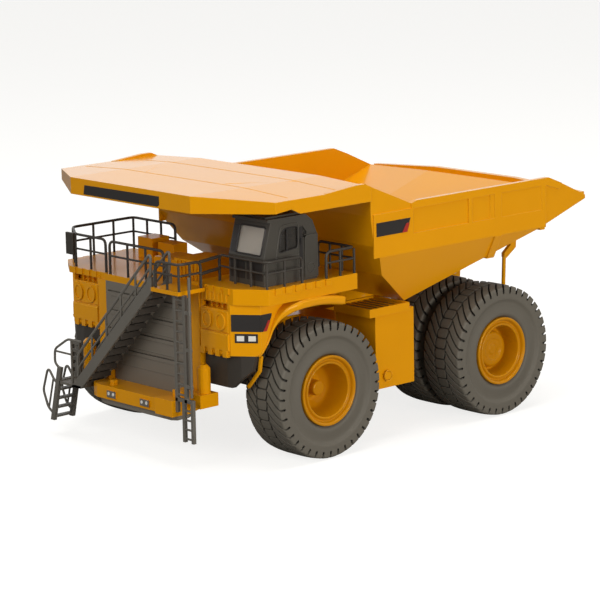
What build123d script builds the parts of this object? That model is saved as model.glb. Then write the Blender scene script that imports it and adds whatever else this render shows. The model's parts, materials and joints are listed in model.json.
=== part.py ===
"""Die-cast scale model of a rigid mining dump truck, 1:125.

Millimetres. X is across (the cab is on +X), the front faces -Y, Z is up.
The origin is the middle of the overall box, on the ground.
Profiles are drawn from the front axle: y counts back from it, z up from the ground.
"""
import os
from math import atan2, cos, degrees, hypot, pi, radians, sin, tan

from build123d import *

os.makedirs("parts", exist_ok=True)

# Overall sizes
front_overhang = 31.4
wheelbase = 57.6
tail_overhang = 30.9
body_width = 78.0
overall_length = front_overhang + wheelbase + tail_overhang
front_axle_y = front_overhang - overall_length / 2
tail_end = wheelbase + tail_overhang

# Wheels
tyre_radius = 16.1
tyre_width = 11.8
wheel_x = 32.2
dual_spacing = 14.5
bead_radius = 8.35
rim_gap = 0.06
lug_count = 18
tread_gap = 0.9
groove_width = 1.0
groove_depth = 1.15
groove_slant = 32.0
shoulder_width = 0.9
shoulder_drop = 1.0
axle_radius = 1.2
axle_clearance = 0.05
axle_beam = 4.8
axle_beam_half = 24.0
stub_reach = 1.1

# Frame
rail_inner_x = 3.6
rail_outer_x = 7.0
rail_bottom_z = tyre_radius + axle_beam / 2
rail_height = 8.5
rail_top = rail_bottom_z + rail_height
frame_front = -19.0

# Bed
bed_wall = 1.0
bed_half = body_width / 2
bed_rib = 0.35
bed_floor_front = (wheelbase - 27.6, 32.0)
bed_floor_slope = 17.9
bed_floor_thick = 1.1
floor_ridge_half = 14.0
floor_ridge_rise = 1.5
bed_fold_z = 45.0
bed_fold_half = 31.2
bed_front_y = 13.0
rail_top_z = 57.2
rail_depth = 1.8
canopy_top_z = 63.0
canopy_front = -27.0
canopy_thick = 1.0
canopy_flange = 4.0
canopy_front_half = 21.8
canopy_bend = -16.5
canopy_droop = 0.9

# Bed hinge and hoists
pivot = (wheelbase + 12.4, 31.0)
pin_radius = 1.1
pin_clearance = 0.05
runner_gap = 0.3
hoist_foot = (wheelbase - 19.6, 12.0)
hoist_eye = (wheelbase - 6.6, 36.5)
hoist_x = 9.3
hoist_barrel_radius = 1.6
hoist_rod_radius = 0.9
hoist_pin_radius = 0.8
hoist_eye_radius = 1.5
hoist_eye_half = 1.1

# Decks and fenders
deck_half = 36.8
left_deck_z = 42.1
right_deck_z = 40.0
deck_under_z = 38.4
deck_rear = 10.2
right_deck_rear = 3.5
fender_half = 34.3
fender_nose = -22.0
fender_nose_half = 28.8
fender_bend = -17.6
fender_bottom_z = 26.5
fender_inner_x = 15.6
fender_wall = 1.2
arch_lip_x = 37.6
lamp_z = 34.2
lamp_places = [21.3, 26.0]

# Grille and bumper
grille_face = -22.6
grille_bottom_z = 15.0
louvre_pitch = 4.5
bumper_face = -29.2
bumper_bottom_z = 11.8
bumper_half = 17.5
end_block_half = 22.9
end_block_bottom = 13.9
end_block_top = 17.0

# Cab
cab_width = 12.0
cab_left_x = deck_half - 2.8
cab_length = 15.8
cab_front = -15.6
cab_height = 15.2
cab_wall = 0.9
glass_thick = 0.4

# Stairs, ladders and railings
bar = 0.6
stair_y = (-30.2, -24.6)
stringer = 0.8
stringer_depth = 3.5
stair_foot = (-12.4, 16.8)
stair_slope = 0.985
stair_top_x = 11.4
stair_top_z = 41.4
stair_steps = 11
landing_z = 13.8
platform_right = 21.0
rail_height_cab = 6.4
rail_height_right = 8.2


def side_plane(x=0.0):
    """Profiles in (y from the front axle, z), pulled towards +X."""
    return Plane(origin=(x, front_axle_y, 0), x_dir=(0, 1, 0), z_dir=(1, 0, 0))


def front_plane(y):
    """Profiles in (x, z) at y from the front axle, pulled forwards."""
    return Plane(origin=(0, front_axle_y + y, 0), x_dir=(1, 0, 0), z_dir=(0, -1, 0))


def plan_plane(z):
    """Profiles in (x, y from the front axle), pulled upwards."""
    return Plane(origin=(0, front_axle_y, z))


def finish(piece, label):
    piece.part.label = label
    export_step(piece.part, f"parts/{label}.step")


def outline(plane, points):
    """A closed straight-sided sketch on a plane."""
    with BuildSketch(plane) as sketch:
        with BuildLine():
            Polyline(*points, close=True)
        make_face()
    return sketch.sketch


def slab(plane, points, amount, mode=Mode.ADD):
    extrude(outline(plane, points), amount=amount, mode=mode)


def block(x0, x1, y0, y1, z0, z1, mode=Mode.ADD):
    """A block between two corners, y from the front axle."""
    centre = ((x0 + x1) / 2, front_axle_y + (y0 + y1) / 2, (z0 + z1) / 2)
    with Locations(centre):
        Box(abs(x1 - x0), abs(y1 - y0), abs(z1 - z0), mode=mode)


def strut(start, end, width=bar):
    """A square bar between two points (x, y from the front axle, z)."""
    a = Vector(start[0], start[1] + front_axle_y, start[2])
    b = Vector(end[0], end[1] + front_axle_y, end[2])
    with BuildSketch(Plane(origin=a, z_dir=b - a)) as section:
        Rectangle(width, width)
    extrude(section.sketch, amount=(b - a).length)


def across(x0, x1, y, z, radius, mode=Mode.ADD, sides=0):
    """A bar along X, round or with the given number of sides."""
    with BuildSketch(side_plane(x0)) as section:
        with Locations((y, z)):
            if sides:
                RegularPolygon(radius, sides)
            else:
                Circle(radius)
    extrude(section.sketch, amount=x1 - x0, mode=mode)


def faceted(side, axle_y, steps, mode=Mode.ADD):
    """A many-sided body about a wheel's axis; steps are (x outwards, distance of the flats)."""
    for (x0, flats0), (x1, flats1) in zip(steps, steps[1:]):
        way = side if x1 > x0 else -side
        centre = (side * (wheel_x + x0), front_axle_y + axle_y, tyre_radius)
        with BuildSketch(Plane(origin=centre, x_dir=(0, way, 0), z_dir=(way, 0, 0))) as section:
            RegularPolygon(flats0 / flat_share, lug_count, rotation=flat_down)
        extrude(section.sketch, amount=abs(x1 - x0), mode=mode,
                taper=degrees(atan2(flats0 - flats1, abs(x1 - x0))))


def mirrored(side, points):
    return [(side * a, b) for a, b in points]


def railing(corners, base_z, height, spacing=6.0):
    """Top rail, middle rail and posts along a run of (x, y) corners."""
    for (xa, ya), (xb, yb) in zip(corners, corners[1:]):
        run = hypot(xb - xa, yb - ya)
        for z in (base_z + height / 2, base_z + height - bar / 2):
            strut((xa, ya, z), (xb, yb, z))
        posts = max(1, round(run / spacing))
        for post in range(posts + 1):
            share = post / posts
            x = xa + share * (xb - xa)
            y = ya + share * (yb - ya)
            block(x - bar / 2, x + bar / 2, y - bar / 2, y + bar / 2, base_z, base_z + height)


# Tyres: a many-sided body with slanted V-shaped grooves between the lugs of both shoulders
flat_share = cos(pi / lug_count)
flat_down = 180 / lug_count - 90
with BuildPart() as tyre_pattern:
    for side in (1, -1):
        with BuildSketch(Plane(origin=(0, 0, 0), x_dir=(0, side, 0), z_dir=(side, 0, 0))):
            RegularPolygon(tyre_radius / flat_share, lug_count, rotation=flat_down)
        extrude(amount=tyre_width / 2 - shoulder_width)
        with BuildSketch(Plane(origin=(side * (tyre_width / 2 - shoulder_width), 0, 0),
                               x_dir=(0, side, 0), z_dir=(side, 0, 0))):
            RegularPolygon(tyre_radius / flat_share, lug_count, rotation=flat_down)
        extrude(amount=shoulder_width, taper=degrees(atan2(shoulder_drop, shoulder_width)))
    with BuildSketch(Plane(origin=(-tyre_width / 2, 0, 0), x_dir=(0, 1, 0), z_dir=(1, 0, 0))):
        RegularPolygon(bead_radius / flat_share, lug_count, rotation=flat_down)
    extrude(amount=tyre_width, mode=Mode.SUBTRACT)
    for side in (1, -1):
        groove_planes = []
        for lug in range(lug_count):
            turn = radians((lug + (0.25 if side == 1 else 0.75)) * 360 / lug_count)
            slant = side * radians(groove_slant)
            groove_planes.append(Plane(
                origin=(side * tread_gap, tyre_radius * cos(turn), tyre_radius * sin(turn)),
                x_dir=(0, cos(turn), sin(turn)),
                z_dir=(side * cos(slant), -sin(slant) * sin(turn), sin(slant) * cos(turn))))
        with BuildSketch(*groove_planes):
            with BuildLine():
                Polyline((-groove_depth, 0), (0.6, groove_width), (0.6, -groove_width), close=True)
            make_face()
        extrude(amount=(tyre_width / 2 - tread_gap + 1.0) / cos(slant), mode=Mode.SUBTRACT)
for axle_name, axle_y, tyre_rows in (  # name, y of the axle, distances of its tyres from the middle
    ("front", 0.0, [("", wheel_x)]),
    ("rear", wheelbase, [("_outer", wheel_x), ("_inner", wheel_x - dual_spacing)]),
):
    for side_name, side in (("left", 1), ("right", -1)):
        for suffix, offset in tyre_rows:
            with BuildPart() as tyre:
                add(tyre_pattern.part.moved(Location((side * offset, front_axle_y + axle_y, tyre_radius))))
            finish(tyre, f"tyre_{axle_name}_{side_name}{suffix}")

# Rims: steps are x outwards from the tyre's middle and the distance of the flats from the axis
rim_radius = bead_radius - rim_gap
bore_radius = axle_radius + axle_clearance
rim_half = tyre_width / 2 - 0.2
rim_back = -(tyre_width / 2 - 0.9)
lip_width = 1.0
lip_inner = rim_radius - lip_width
bowl_radius = 6.5
dish_x = -0.8
stub_end = stub_reach + 0.1
for axle_name, axle_y, back_x, bowl_end, hub_start, hub_end in (  # name, y, rear edge, bowl, hub
    ("front", 0.0, rim_back, (dish_x, 5.1), (dish_x - 0.5, 1.8), (1.9, 1.8)),
    ("rear", wheelbase, rim_back - dual_spacing, (0.2, 4.8), (-0.3, 4.8), (2.6, 4.4)),
):
    web_x = dish_x - 2.4 if axle_name == "front" else rim_back
    for side_name, side in (("left", 1), ("right", -1)):
        with BuildPart() as rim:
            faceted(side, axle_y, [(back_x, rim_radius), (rim_half, rim_radius)])
            faceted(side, axle_y, [(rim_half, lip_inner), (rim_half - lip_width, bowl_radius), bowl_end],
                    Mode.SUBTRACT)
            faceted(side, axle_y, [hub_start, hub_end])
            faceted(side, axle_y, [(back_x, lip_inner), (web_x, bore_radius + 0.6)], Mode.SUBTRACT)
            across(side * (wheel_x + back_x), side * (wheel_x + stub_end), axle_y, tyre_radius,
                   bore_radius, Mode.SUBTRACT)
        finish(rim, f"rim_{axle_name}_{side_name}")

# Front axle: a square beam with round stubs
stub_x = wheel_x + stub_reach
half_beam = axle_beam / 2
with BuildPart() as front_axle:
    block(-axle_beam_half, axle_beam_half, -half_beam, half_beam,
          tyre_radius - half_beam, tyre_radius + half_beam)
    across(-stub_x, stub_x, 0, tyre_radius, axle_radius)
finish(front_axle, "front_axle")

# Rear axle pin and its housing
housing_half = 10.6
housing_radius = 4.4
case_half = 6.0
case_reach = 5.6
with BuildPart() as rear_axle:
    across(-stub_x, stub_x, wheelbase, tyre_radius, axle_radius)
finish(rear_axle, "rear_axle")
with BuildPart() as rear_housing:
    with BuildSketch(side_plane(-housing_half)):
        with Locations((wheelbase, tyre_radius)):
            RegularPolygon(housing_radius, 8)
    extrude(amount=2 * housing_half)
    block(-case_half, case_half, wheelbase - case_reach, wheelbase + case_reach,
          tyre_radius - case_reach, rail_bottom_z)
    across(-housing_half, housing_half, wheelbase, tyre_radius, axle_radius, Mode.SUBTRACT)
    block(-housing_half, housing_half, wheelbase - 9, wheelbase + 9,
          rail_bottom_z, rail_top, Mode.SUBTRACT)
finish(rear_housing, "rear_axle_housing")

# Frame: two rails with cross members and the hoist foot
frame_side = [
    (frame_front, rail_bottom_z), (wheelbase - 2, rail_bottom_z),
    (pivot[0] + 1.5, pivot[1] - 8.5), (pivot[0] + 2.6, pivot[1] - 2.0),
    (pivot[0] + 2.2, pivot[1] + 2.4), (pivot[0] - 2.6, pivot[1] + 2.4),
    (wheelbase + 2, rail_top), (frame_front, rail_top),
]
foot_half = 3.0
foot_drop = 2.2
with BuildPart() as frame:
    for side in (1, -1):
        slab(side_plane(side * rail_inner_x), frame_side, side * (rail_outer_x - rail_inner_x))
    for y0, y1, z0, z1 in (  # cross members: front, rear, bottom, top
        (frame_front, frame_front + 3, rail_bottom_z, rail_top),
        (-half_beam, half_beam + 1.6, rail_bottom_z, rail_top),
        (hoist_foot[0] - 12, hoist_foot[0] - 7, rail_bottom_z, rail_top - 1),
        (hoist_foot[0] - foot_half, hoist_foot[0] + foot_half, rail_bottom_z, rail_top - 1),
        (wheelbase - 4, wheelbase + 4, rail_bottom_z, rail_top - 1),
        (pivot[0] - 2.4, pivot[0] + 0.6, pivot[1] - 6.5, pivot[1] - 2.4),
    ):
        block(-rail_inner_x, rail_inner_x, y0, y1, z0, z1)
    block(-rail_outer_x, rail_outer_x, hoist_foot[0] - foot_half, hoist_foot[0] + foot_half,
          hoist_foot[1] - foot_drop, rail_bottom_z)
finish(frame, "frame")

# Pins on the frame's sides carry the bed and the feet of the hoists
bed_pin_x = 9.7
pin_sides = 16
hoist_pin_x = hoist_x + hoist_barrel_radius
with BuildPart() as pins:
    for side in (1, -1):
        for reach, (y, z), radius in (
            (bed_pin_x, pivot, pin_radius), (hoist_pin_x, hoist_foot, hoist_pin_radius),
        ):
            with BuildSketch(side_plane(side * rail_outer_x)):
                with Locations((y, z)):
                    RegularPolygon(radius, pin_sides)
            extrude(amount=side * (reach - rail_outer_x))
finish(pins, "hinge_pins")

# Two bosses under the frame take the screws of a display plinth
boss_radius = 2.4
screw_radius = 1.0
boss_depth = 5.0
boss_plate = 1.0
with BuildPart() as bosses:
    for y in (half_beam + 9.6, wheelbase - 10.6):
        with BuildSketch(plan_plane(rail_bottom_z)):
            with Locations((0, y)):
                RegularPolygon(boss_radius, 6)
                Circle(screw_radius, mode=Mode.SUBTRACT)
        extrude(amount=-boss_depth)
        block(-rail_outer_x, rail_outer_x, y - boss_radius, y + boss_radius,
              rail_bottom_z - boss_plate, rail_bottom_z)
finish(bosses, "screw_bosses")

# Hoists: a barrel hinged on the frame and a rod pinned under the bed
hoist_rise = (hoist_eye[0] - hoist_foot[0], hoist_eye[1] - hoist_foot[1])
hoist_length = hypot(*hoist_rise)
hoist_angle = atan2(hoist_rise[1], hoist_rise[0])
along = Vector(0, cos(hoist_angle), sin(hoist_angle))
barrel_length = hoist_length - hoist_eye_radius - 1.6
bore_start = 2.0
rod_start = 2.3
hoist_sides = 12
for side_name, side in (("left", 1), ("right", -1)):
    foot = Vector(side * hoist_x, front_axle_y + hoist_foot[0], hoist_foot[1])
    eye_side = side * hoist_x - hoist_eye_half
    with BuildPart() as barrel:
        with BuildSketch(Plane(origin=foot, z_dir=along)):
            RegularPolygon(hoist_barrel_radius, hoist_sides)
        extrude(amount=barrel_length)
        across(eye_side, eye_side + 2 * hoist_eye_half, *hoist_foot, hoist_eye_radius + 0.2,
               sides=hoist_sides)
        across(side * hoist_x - hoist_barrel_radius, side * hoist_x + hoist_barrel_radius, *hoist_foot,
               hoist_pin_radius + pin_clearance, Mode.SUBTRACT)
        with BuildSketch(Plane(origin=foot + along * bore_start, z_dir=along)):
            Circle(hoist_rod_radius + pin_clearance)
        extrude(amount=barrel_length, mode=Mode.SUBTRACT)
    finish(barrel, f"hoist_barrel_{side_name}")
    with BuildPart() as rod:
        with BuildSketch(Plane(origin=foot + along * rod_start, z_dir=along)):
            RegularPolygon(hoist_rod_radius, hoist_sides)
        extrude(amount=hoist_length - rod_start - 1.0)
        across(eye_side, eye_side + 2 * hoist_eye_half, *hoist_eye, hoist_eye_radius, sides=hoist_sides)
        across(eye_side, eye_side + 2 * hoist_eye_half, *hoist_eye, hoist_pin_radius, Mode.SUBTRACT)
    finish(rod, f"hoist_rod_{side_name}")

# Bed: the side profile and the cross-section cut each other
floor_rise = tan(radians(bed_floor_slope))


def floor_z(y, lift=0.0):
    return bed_floor_front[1] + (y - bed_floor_front[0]) * floor_rise + lift


tail_lip = 1.7
tail_y = tail_end - tail_lip
rail_end_y = tail_end - 15.4
dip_y = bed_front_y + 12.9
knee = (bed_front_y + 5.7, 40.2)
wall_low = (bed_front_y + 0.8, 48.0)
outer_side = [  # y, z
    (bed_front_y, canopy_top_z - 0.9), (dip_y, rail_top_z - 0.5), (dip_y + 2, rail_top_z),
    (rail_end_y, rail_top_z), (rail_end_y + 4.8, rail_top_z - 1.9), (tail_y, floor_z(tail_y) + 0.9),
    (tail_y, floor_z(tail_y)), bed_floor_front, knee, wall_low, (bed_front_y, 55.0),
]
past_tail = tail_y + 5
above_rail = canopy_top_z + 3
inner_side = [
    (bed_front_y + bed_wall, above_rail), (past_tail, above_rail),
    (past_tail, floor_z(past_tail, bed_floor_thick)),
    (bed_floor_front[0], floor_z(bed_floor_front[0], bed_floor_thick)),
    (knee[0] + 1.0, knee[1] + 0.7), (wall_low[0] + bed_wall, wall_low[1] + 0.2),
    (bed_front_y + bed_wall, 55.0),
]
section_bottom_z = bed_floor_front[1] - 2.0
bed_span = overall_length


def bed_section(inset):
    """Half widths of the bed: upright sides above the fold, sloping in below it."""
    half = bed_half - inset
    foot_half_width = bed_fold_half - inset
    return [
        (-half, above_rail), (-half, bed_fold_z), (-foot_half_width, section_bottom_z),
        (foot_half_width, section_bottom_z), (half, bed_fold_z), (half, above_rail),
    ]


floor_slope = radians(bed_floor_slope)
ridge_start = bed_floor_front[0] - 1.5
ridge_plane = Plane(origin=(0, front_axle_y + ridge_start, floor_z(ridge_start, bed_floor_thick)),
                    x_dir=(1, 0, 0), z_dir=(0, cos(floor_slope), sin(floor_slope)))
with BuildPart() as load_space:
    slab(side_plane(-bed_half), inner_side, body_width)
    extrude(outline(front_plane(past_tail), bed_section(bed_rib + bed_wall)),
            amount=bed_span, mode=Mode.INTERSECT)
    slab(ridge_plane, [  # the floor stands higher between its two long folds
        (-bed_half, 1.0), (-bed_half, 0), (-floor_ridge_half, -floor_ridge_rise),
        (floor_ridge_half, -floor_ridge_rise), (bed_half, 0), (bed_half, 1.0),
    ], bed_span, Mode.SUBTRACT)
panel_low = 49.5
panel_top = rail_top_z - rail_depth
panel_front = bed_front_y + 13.5
panel_rear = wheelbase - 5.1
rib_end = rail_end_y - 1.0
rib_places = [(wheelbase - 3.6, 2.4), (rib_end - 1.6, 1.6)]
with BuildPart() as bed:
    slab(side_plane(-bed_half), outer_side, body_width)
    extrude(outline(front_plane(past_tail), bed_section(bed_rib)), amount=bed_span, mode=Mode.INTERSECT)
    add(load_space.part, mode=Mode.SUBTRACT)
    panel_x = bed_half - bed_rib
    for side in (1, -1):
        slab(side_plane(side * panel_x), [  # top rail
            (dip_y, rail_top_z - 0.5), (dip_y + 2, rail_top_z), (rail_end_y, rail_top_z),
            (rail_end_y + 4.8, rail_top_z - 1.9), (rail_end_y + 4.0, rail_top_z - rail_depth - 1.6),
            (rail_end_y - 1, rail_top_z - rail_depth), (dip_y, rail_top_z - rail_depth),
        ], side * bed_rib)
        for y0, y1, out, low, top in (  # raised areas: front, rear, distance out, bottom, top
            (bed_front_y + 0.6, rib_end, bed_rib, bed_fold_z + 0.2, panel_low),
            (bed_front_y + 0.6, panel_front, bed_rib, panel_low, panel_top),
            (dip_y + 19.1, dip_y + 20.3, bed_rib, panel_low, panel_top),
            (panel_rear, rib_end, bed_rib - 0.14, bed_fold_z, panel_top),
        ):
            block(side * panel_x, side * (panel_x + out), y0, y1, low, top)
        for y, width in rib_places:
            block(side * panel_x, side * bed_half, y, y + width, bed_fold_z, panel_top)
        tab_low = bed_fold_z - 5.7
        slab(front_plane(wheelbase - 1.2), mirrored(side, [  # the middle rib goes on under the fold
            (bed_half - 0.8, bed_fold_z), (bed_half, bed_fold_z), (bed_half - 2.7, tab_low),
            (bed_half - 4.4, tab_low),
        ]), 2.4)
        block(side * (bed_half - 2.0), side * (bed_half - 0.4), rib_end - 1.6, rib_end,
              floor_z(rib_end) - 1.2, floor_z(rib_end) + 0.6)
    lip_base = floor_z(tail_end)
    lip_top = floor_z(tail_y, bed_floor_thick)
    lip_half = bed_half - 2.2
    slab(front_plane(tail_end), [  # tail lip, higher in the middle
        (-lip_half, lip_base), (lip_half, lip_base), (lip_half, lip_top + 0.2),
        (floor_ridge_half, lip_top + floor_ridge_rise / cos(floor_slope)),
        (-floor_ridge_half, lip_top + floor_ridge_rise / cos(floor_slope)), (-lip_half, lip_top + 0.2),
    ], tail_lip)
finish(bed, "bed_shell")

# Canopy: a plate over the cab, drooping towards both sides, with a flange round its front and sides
canopy_half = bed_half
canopy_low = canopy_top_z - canopy_flange
canopy_base = canopy_low - 0.3
canopy_plan = [
    (-canopy_front_half, canopy_front), (canopy_front_half, canopy_front),
    (canopy_half, canopy_bend), (canopy_half, bed_front_y), (-canopy_half, bed_front_y),
    (-canopy_half, canopy_bend),
]
canopy_room = [
    (-canopy_front_half + 0.6, canopy_front + 1), (canopy_front_half - 0.6, canopy_front + 1),
    (canopy_half - 1, canopy_bend + 0.7), (canopy_half - 1, bed_front_y),
    (1 - canopy_half, bed_front_y), (1 - canopy_half, canopy_bend + 0.7),
]
canopy_side = [  # y, z
    (canopy_front, canopy_low), (canopy_bend - 0.8, canopy_low + 0.4), (canopy_bend + 4.7, canopy_low + 1.0),
    (canopy_bend + 7.3, canopy_base), (bed_front_y, canopy_base), (bed_front_y, canopy_top_z),
    (canopy_front, canopy_top_z),
]


def canopy_section(drop):
    """The plate's cross-section, its top set down by the drop."""
    side_z = canopy_top_z - canopy_droop - drop
    return [
        (-canopy_half, canopy_base - 1), (canopy_half, canopy_base - 1), (canopy_half, side_z),
        (canopy_front_half, canopy_top_z - drop), (-canopy_front_half, canopy_top_z - drop),
        (-canopy_half, side_z),
    ]


canopy_length = bed_front_y - canopy_front
with BuildPart() as canopy_space:
    slab(plan_plane(canopy_base - 1), canopy_room, canopy_flange + 2)
    extrude(outline(front_plane(bed_front_y), canopy_section(canopy_thick)), amount=canopy_length,
            mode=Mode.INTERSECT)
with BuildPart() as canopy:
    slab(plan_plane(canopy_base), canopy_plan, canopy_top_z - canopy_base)
    extrude(outline(front_plane(bed_front_y), canopy_section(0.0)), amount=canopy_length,
            mode=Mode.INTERSECT)
    slab(side_plane(-canopy_half), canopy_side, 2 * canopy_half, Mode.INTERSECT)
    add(canopy_space.part, mode=Mode.SUBTRACT)
    ridge_low = canopy_top_z - canopy_droop - 0.5
    for side in (1, -1):  # a low ridge on each side rises to the bed's peak
        slab(side_plane(side * (canopy_half - 1.1)), [
            (-1.0, ridge_low), (-1.0, ridge_low + 0.6), (8.0, canopy_top_z), (bed_front_y - 2.1, canopy_top_z),
            (bed_front_y, canopy_top_z - 0.9), (bed_front_y, ridge_low),
        ], side * 1.1)
    for x in (-24.5, -8.5, 8.5, 24.5):  # stiffeners under the plate
        slab(side_plane(x - 0.4), [
            (canopy_bend - 5, canopy_top_z - canopy_thick), (bed_front_y, canopy_top_z - canopy_thick),
            (bed_front_y, canopy_top_z - canopy_flange), (bed_front_y - 8, canopy_top_z - canopy_flange + 1.4),
        ], 0.8)
finish(canopy, "bed_canopy")

# Hinge and hoist brackets and the runners under the bed floor
bracket_inner_x = rail_outer_x + 0.3
bracket_outer_x = 9.4
bracket_half = 2.2
eye_slot = hoist_eye_half + 0.25
cheek = 0.6
with BuildPart() as brackets:
    for side in (1, -1):
        slab(side_plane(side * bracket_inner_x), [
            (pivot[0] - bracket_half, pivot[1] - bracket_half), (pivot[0] + bracket_half, pivot[1] - bracket_half),
            (pivot[0] + 3.5, floor_z(pivot[0] + 3.5)), (pivot[0] - 6.0, floor_z(pivot[0] - 6.0)),
        ], side * (bracket_outer_x - bracket_inner_x))
    across(-bed_half, bed_half, *pivot, pin_radius + pin_clearance, Mode.SUBTRACT)
    for side in (1, -1):
        for cheek_x in (hoist_x - eye_slot - cheek, hoist_x + eye_slot):
            slab(side_plane(side * cheek_x), [
                (hoist_eye[0] - 1.2, hoist_eye[1] - 1.2), (hoist_eye[0] + 1.2, hoist_eye[1] - 1.2),
                (hoist_eye[0] + 2.0, floor_z(hoist_eye[0] + 2.0)),
                (hoist_eye[0] - 2.0, floor_z(hoist_eye[0] - 2.0)),
            ], side * cheek)
    runner_low = rail_top + runner_gap
    runner_front = bed_floor_front[0] + 1.0
    runner_rear = wheelbase - 1.6
    for side in (1, -1):
        slab(side_plane(side * (rail_inner_x + 0.4)), [
            (runner_front, runner_low), (runner_rear, runner_low),
            (runner_rear, floor_z(runner_rear)), (runner_front, floor_z(runner_front)),
        ], side * 2.4)
finish(brackets, "bed_brackets")

# Rock ejectors hang from the bed between the twin tyres
ejector_x = wheel_x - dual_spacing / 2
with BuildPart() as ejectors:
    for side in (1, -1):
        slab(side_plane(side * (ejector_x - 0.6)), [
            (pivot[0] + 4.4, floor_z(pivot[0] + 4.4)), (pivot[0] + 3.8, 38.6), (pivot[0] + 0.9, 36.4),
            (pivot[0] + 0.9, 28.5), (pivot[0] + 2.4, 28.5), (pivot[0] + 2.6, 35.6),
            (pivot[0] + 5.8, 37.9), (pivot[0] + 6.4, floor_z(pivot[0] + 6.4)),
        ], side * 1.2)
finish(ejectors, "rock_ejectors")

# Bumper with its stepped block and the end blocks
stair_back = stair_y[1] + stringer / 2
with BuildPart() as bumper:
    slab(plan_plane(bumper_bottom_z), [
        (-11.6, bumper_face), (bumper_half, bumper_face), (bumper_half, -25.0), (15.0, frame_front),
        (-14.2, frame_front), (-14.6, -26.6), (-13.7, -28.4),
    ], grille_bottom_z - bumper_bottom_z)
    block(11.4, bumper_half, bumper_face - 1.2, bumper_face, bumper_bottom_z, grille_bottom_z + 0.6)
    block(11.4, bumper_half, bumper_face, grille_face - 0.4, grille_bottom_z, grille_bottom_z + 0.6)
    for x in (-5.8, 6.5):  # lamp plates
        block(x - 1.6, x + 1.6, bumper_face - 0.3, bumper_face, 12.5, 14.1)
    block(13.0, end_block_half, -26.4, -21.0, end_block_bottom, end_block_top)
    block(-end_block_half, -13.0, stair_back, -21.0, end_block_bottom, end_block_top)
    block(-rail_outer_x, rail_outer_x, frame_front - 0.9, frame_front, bumper_bottom_z, rail_top)
    block(-8.5, -7.2, -27.6, -26.4, grille_bottom_z, grille_bottom_z + 1.1)
finish(bumper, "bumper")
belly_drop = 1.5
with BuildPart() as bumper_guard:
    slab(plan_plane(bumper_bottom_z), [
        (-9.6, bumper_face + 0.9), (14.6, bumper_face + 0.9), (15.8, bumper_face + 1.8), (15.8, -24.0),
        (13.0, frame_front - 0.9), (-12.4, frame_front - 0.9), (-13.0, -26.0), (-12.0, -27.6),
    ], -belly_drop)
finish(bumper_guard, "bumper_guard")

# Front struts stand on the end blocks
strut_x = 21.0
strut_radius = 1.55
strut_sides = 16
strut_shoulder_z = 22.9
tooth_bottom_z = 25.4
with BuildPart() as struts:
    for side in (1, -1):
        strut_spot = (side * strut_x, fender_nose - 1.6)
        with BuildSketch(plan_plane(end_block_top)):
            with Locations(strut_spot):
                RegularPolygon(strut_radius, strut_sides)
        extrude(amount=strut_shoulder_z - end_block_top)
        with BuildSketch(plan_plane(strut_shoulder_z)):
            with Locations(strut_spot):
                RegularPolygon(strut_radius, strut_sides)
        extrude(amount=0.8, taper=40)
finish(struts, "front_struts")

# Rounded splash guards under the fenders
guard_side = [  # x, z of the guard seen from the front
    (18.8, fender_bottom_z), (18.8, 18.7), (27.7, 18.7), (32.5, 23.0), (33.2, fender_bottom_z),
]
with BuildPart() as guards:
    for side in (1, -1):
        slab(plan_plane(18.0), mirrored(side, [
            (18.8, -21.0), (26.4, -21.0), (30.4, -20.3), (33.2, -18.6), (33.2, -17.5), (30.2, -19.1),
            (26.4, -19.9), (18.8, -19.9),
        ]), fender_bottom_z - 18.0)
    guard_outline = Sketch() + [outline(front_plane(0), mirrored(side, guard_side)) for side in (1, -1)]
    extrude(guard_outline, amount=30, mode=Mode.INTERSECT)
finish(guards, "splash_guards")

# Radiator grille: broad louvres with a groove between each pair
grille_half = fender_inner_x - 0.3
grille_top_z = right_deck_z - 1.6
louvre_groove = 0.35
with BuildPart() as grille:
    block(-grille_half, grille_half, grille_face, frame_front - 0.9, end_block_top, grille_top_z)
    block(-12.7, 12.7, grille_face, frame_front - 0.9, grille_bottom_z, end_block_top)
    for louvre in range(4):
        z = 22.6 + louvre * louvre_pitch
        block(-grille_half + 0.8, grille_half - 0.8, grille_face, grille_face + 0.5,
              z - louvre_groove / 2, z + louvre_groove / 2, Mode.SUBTRACT)
finish(grille, "radiator_grille")

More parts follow.
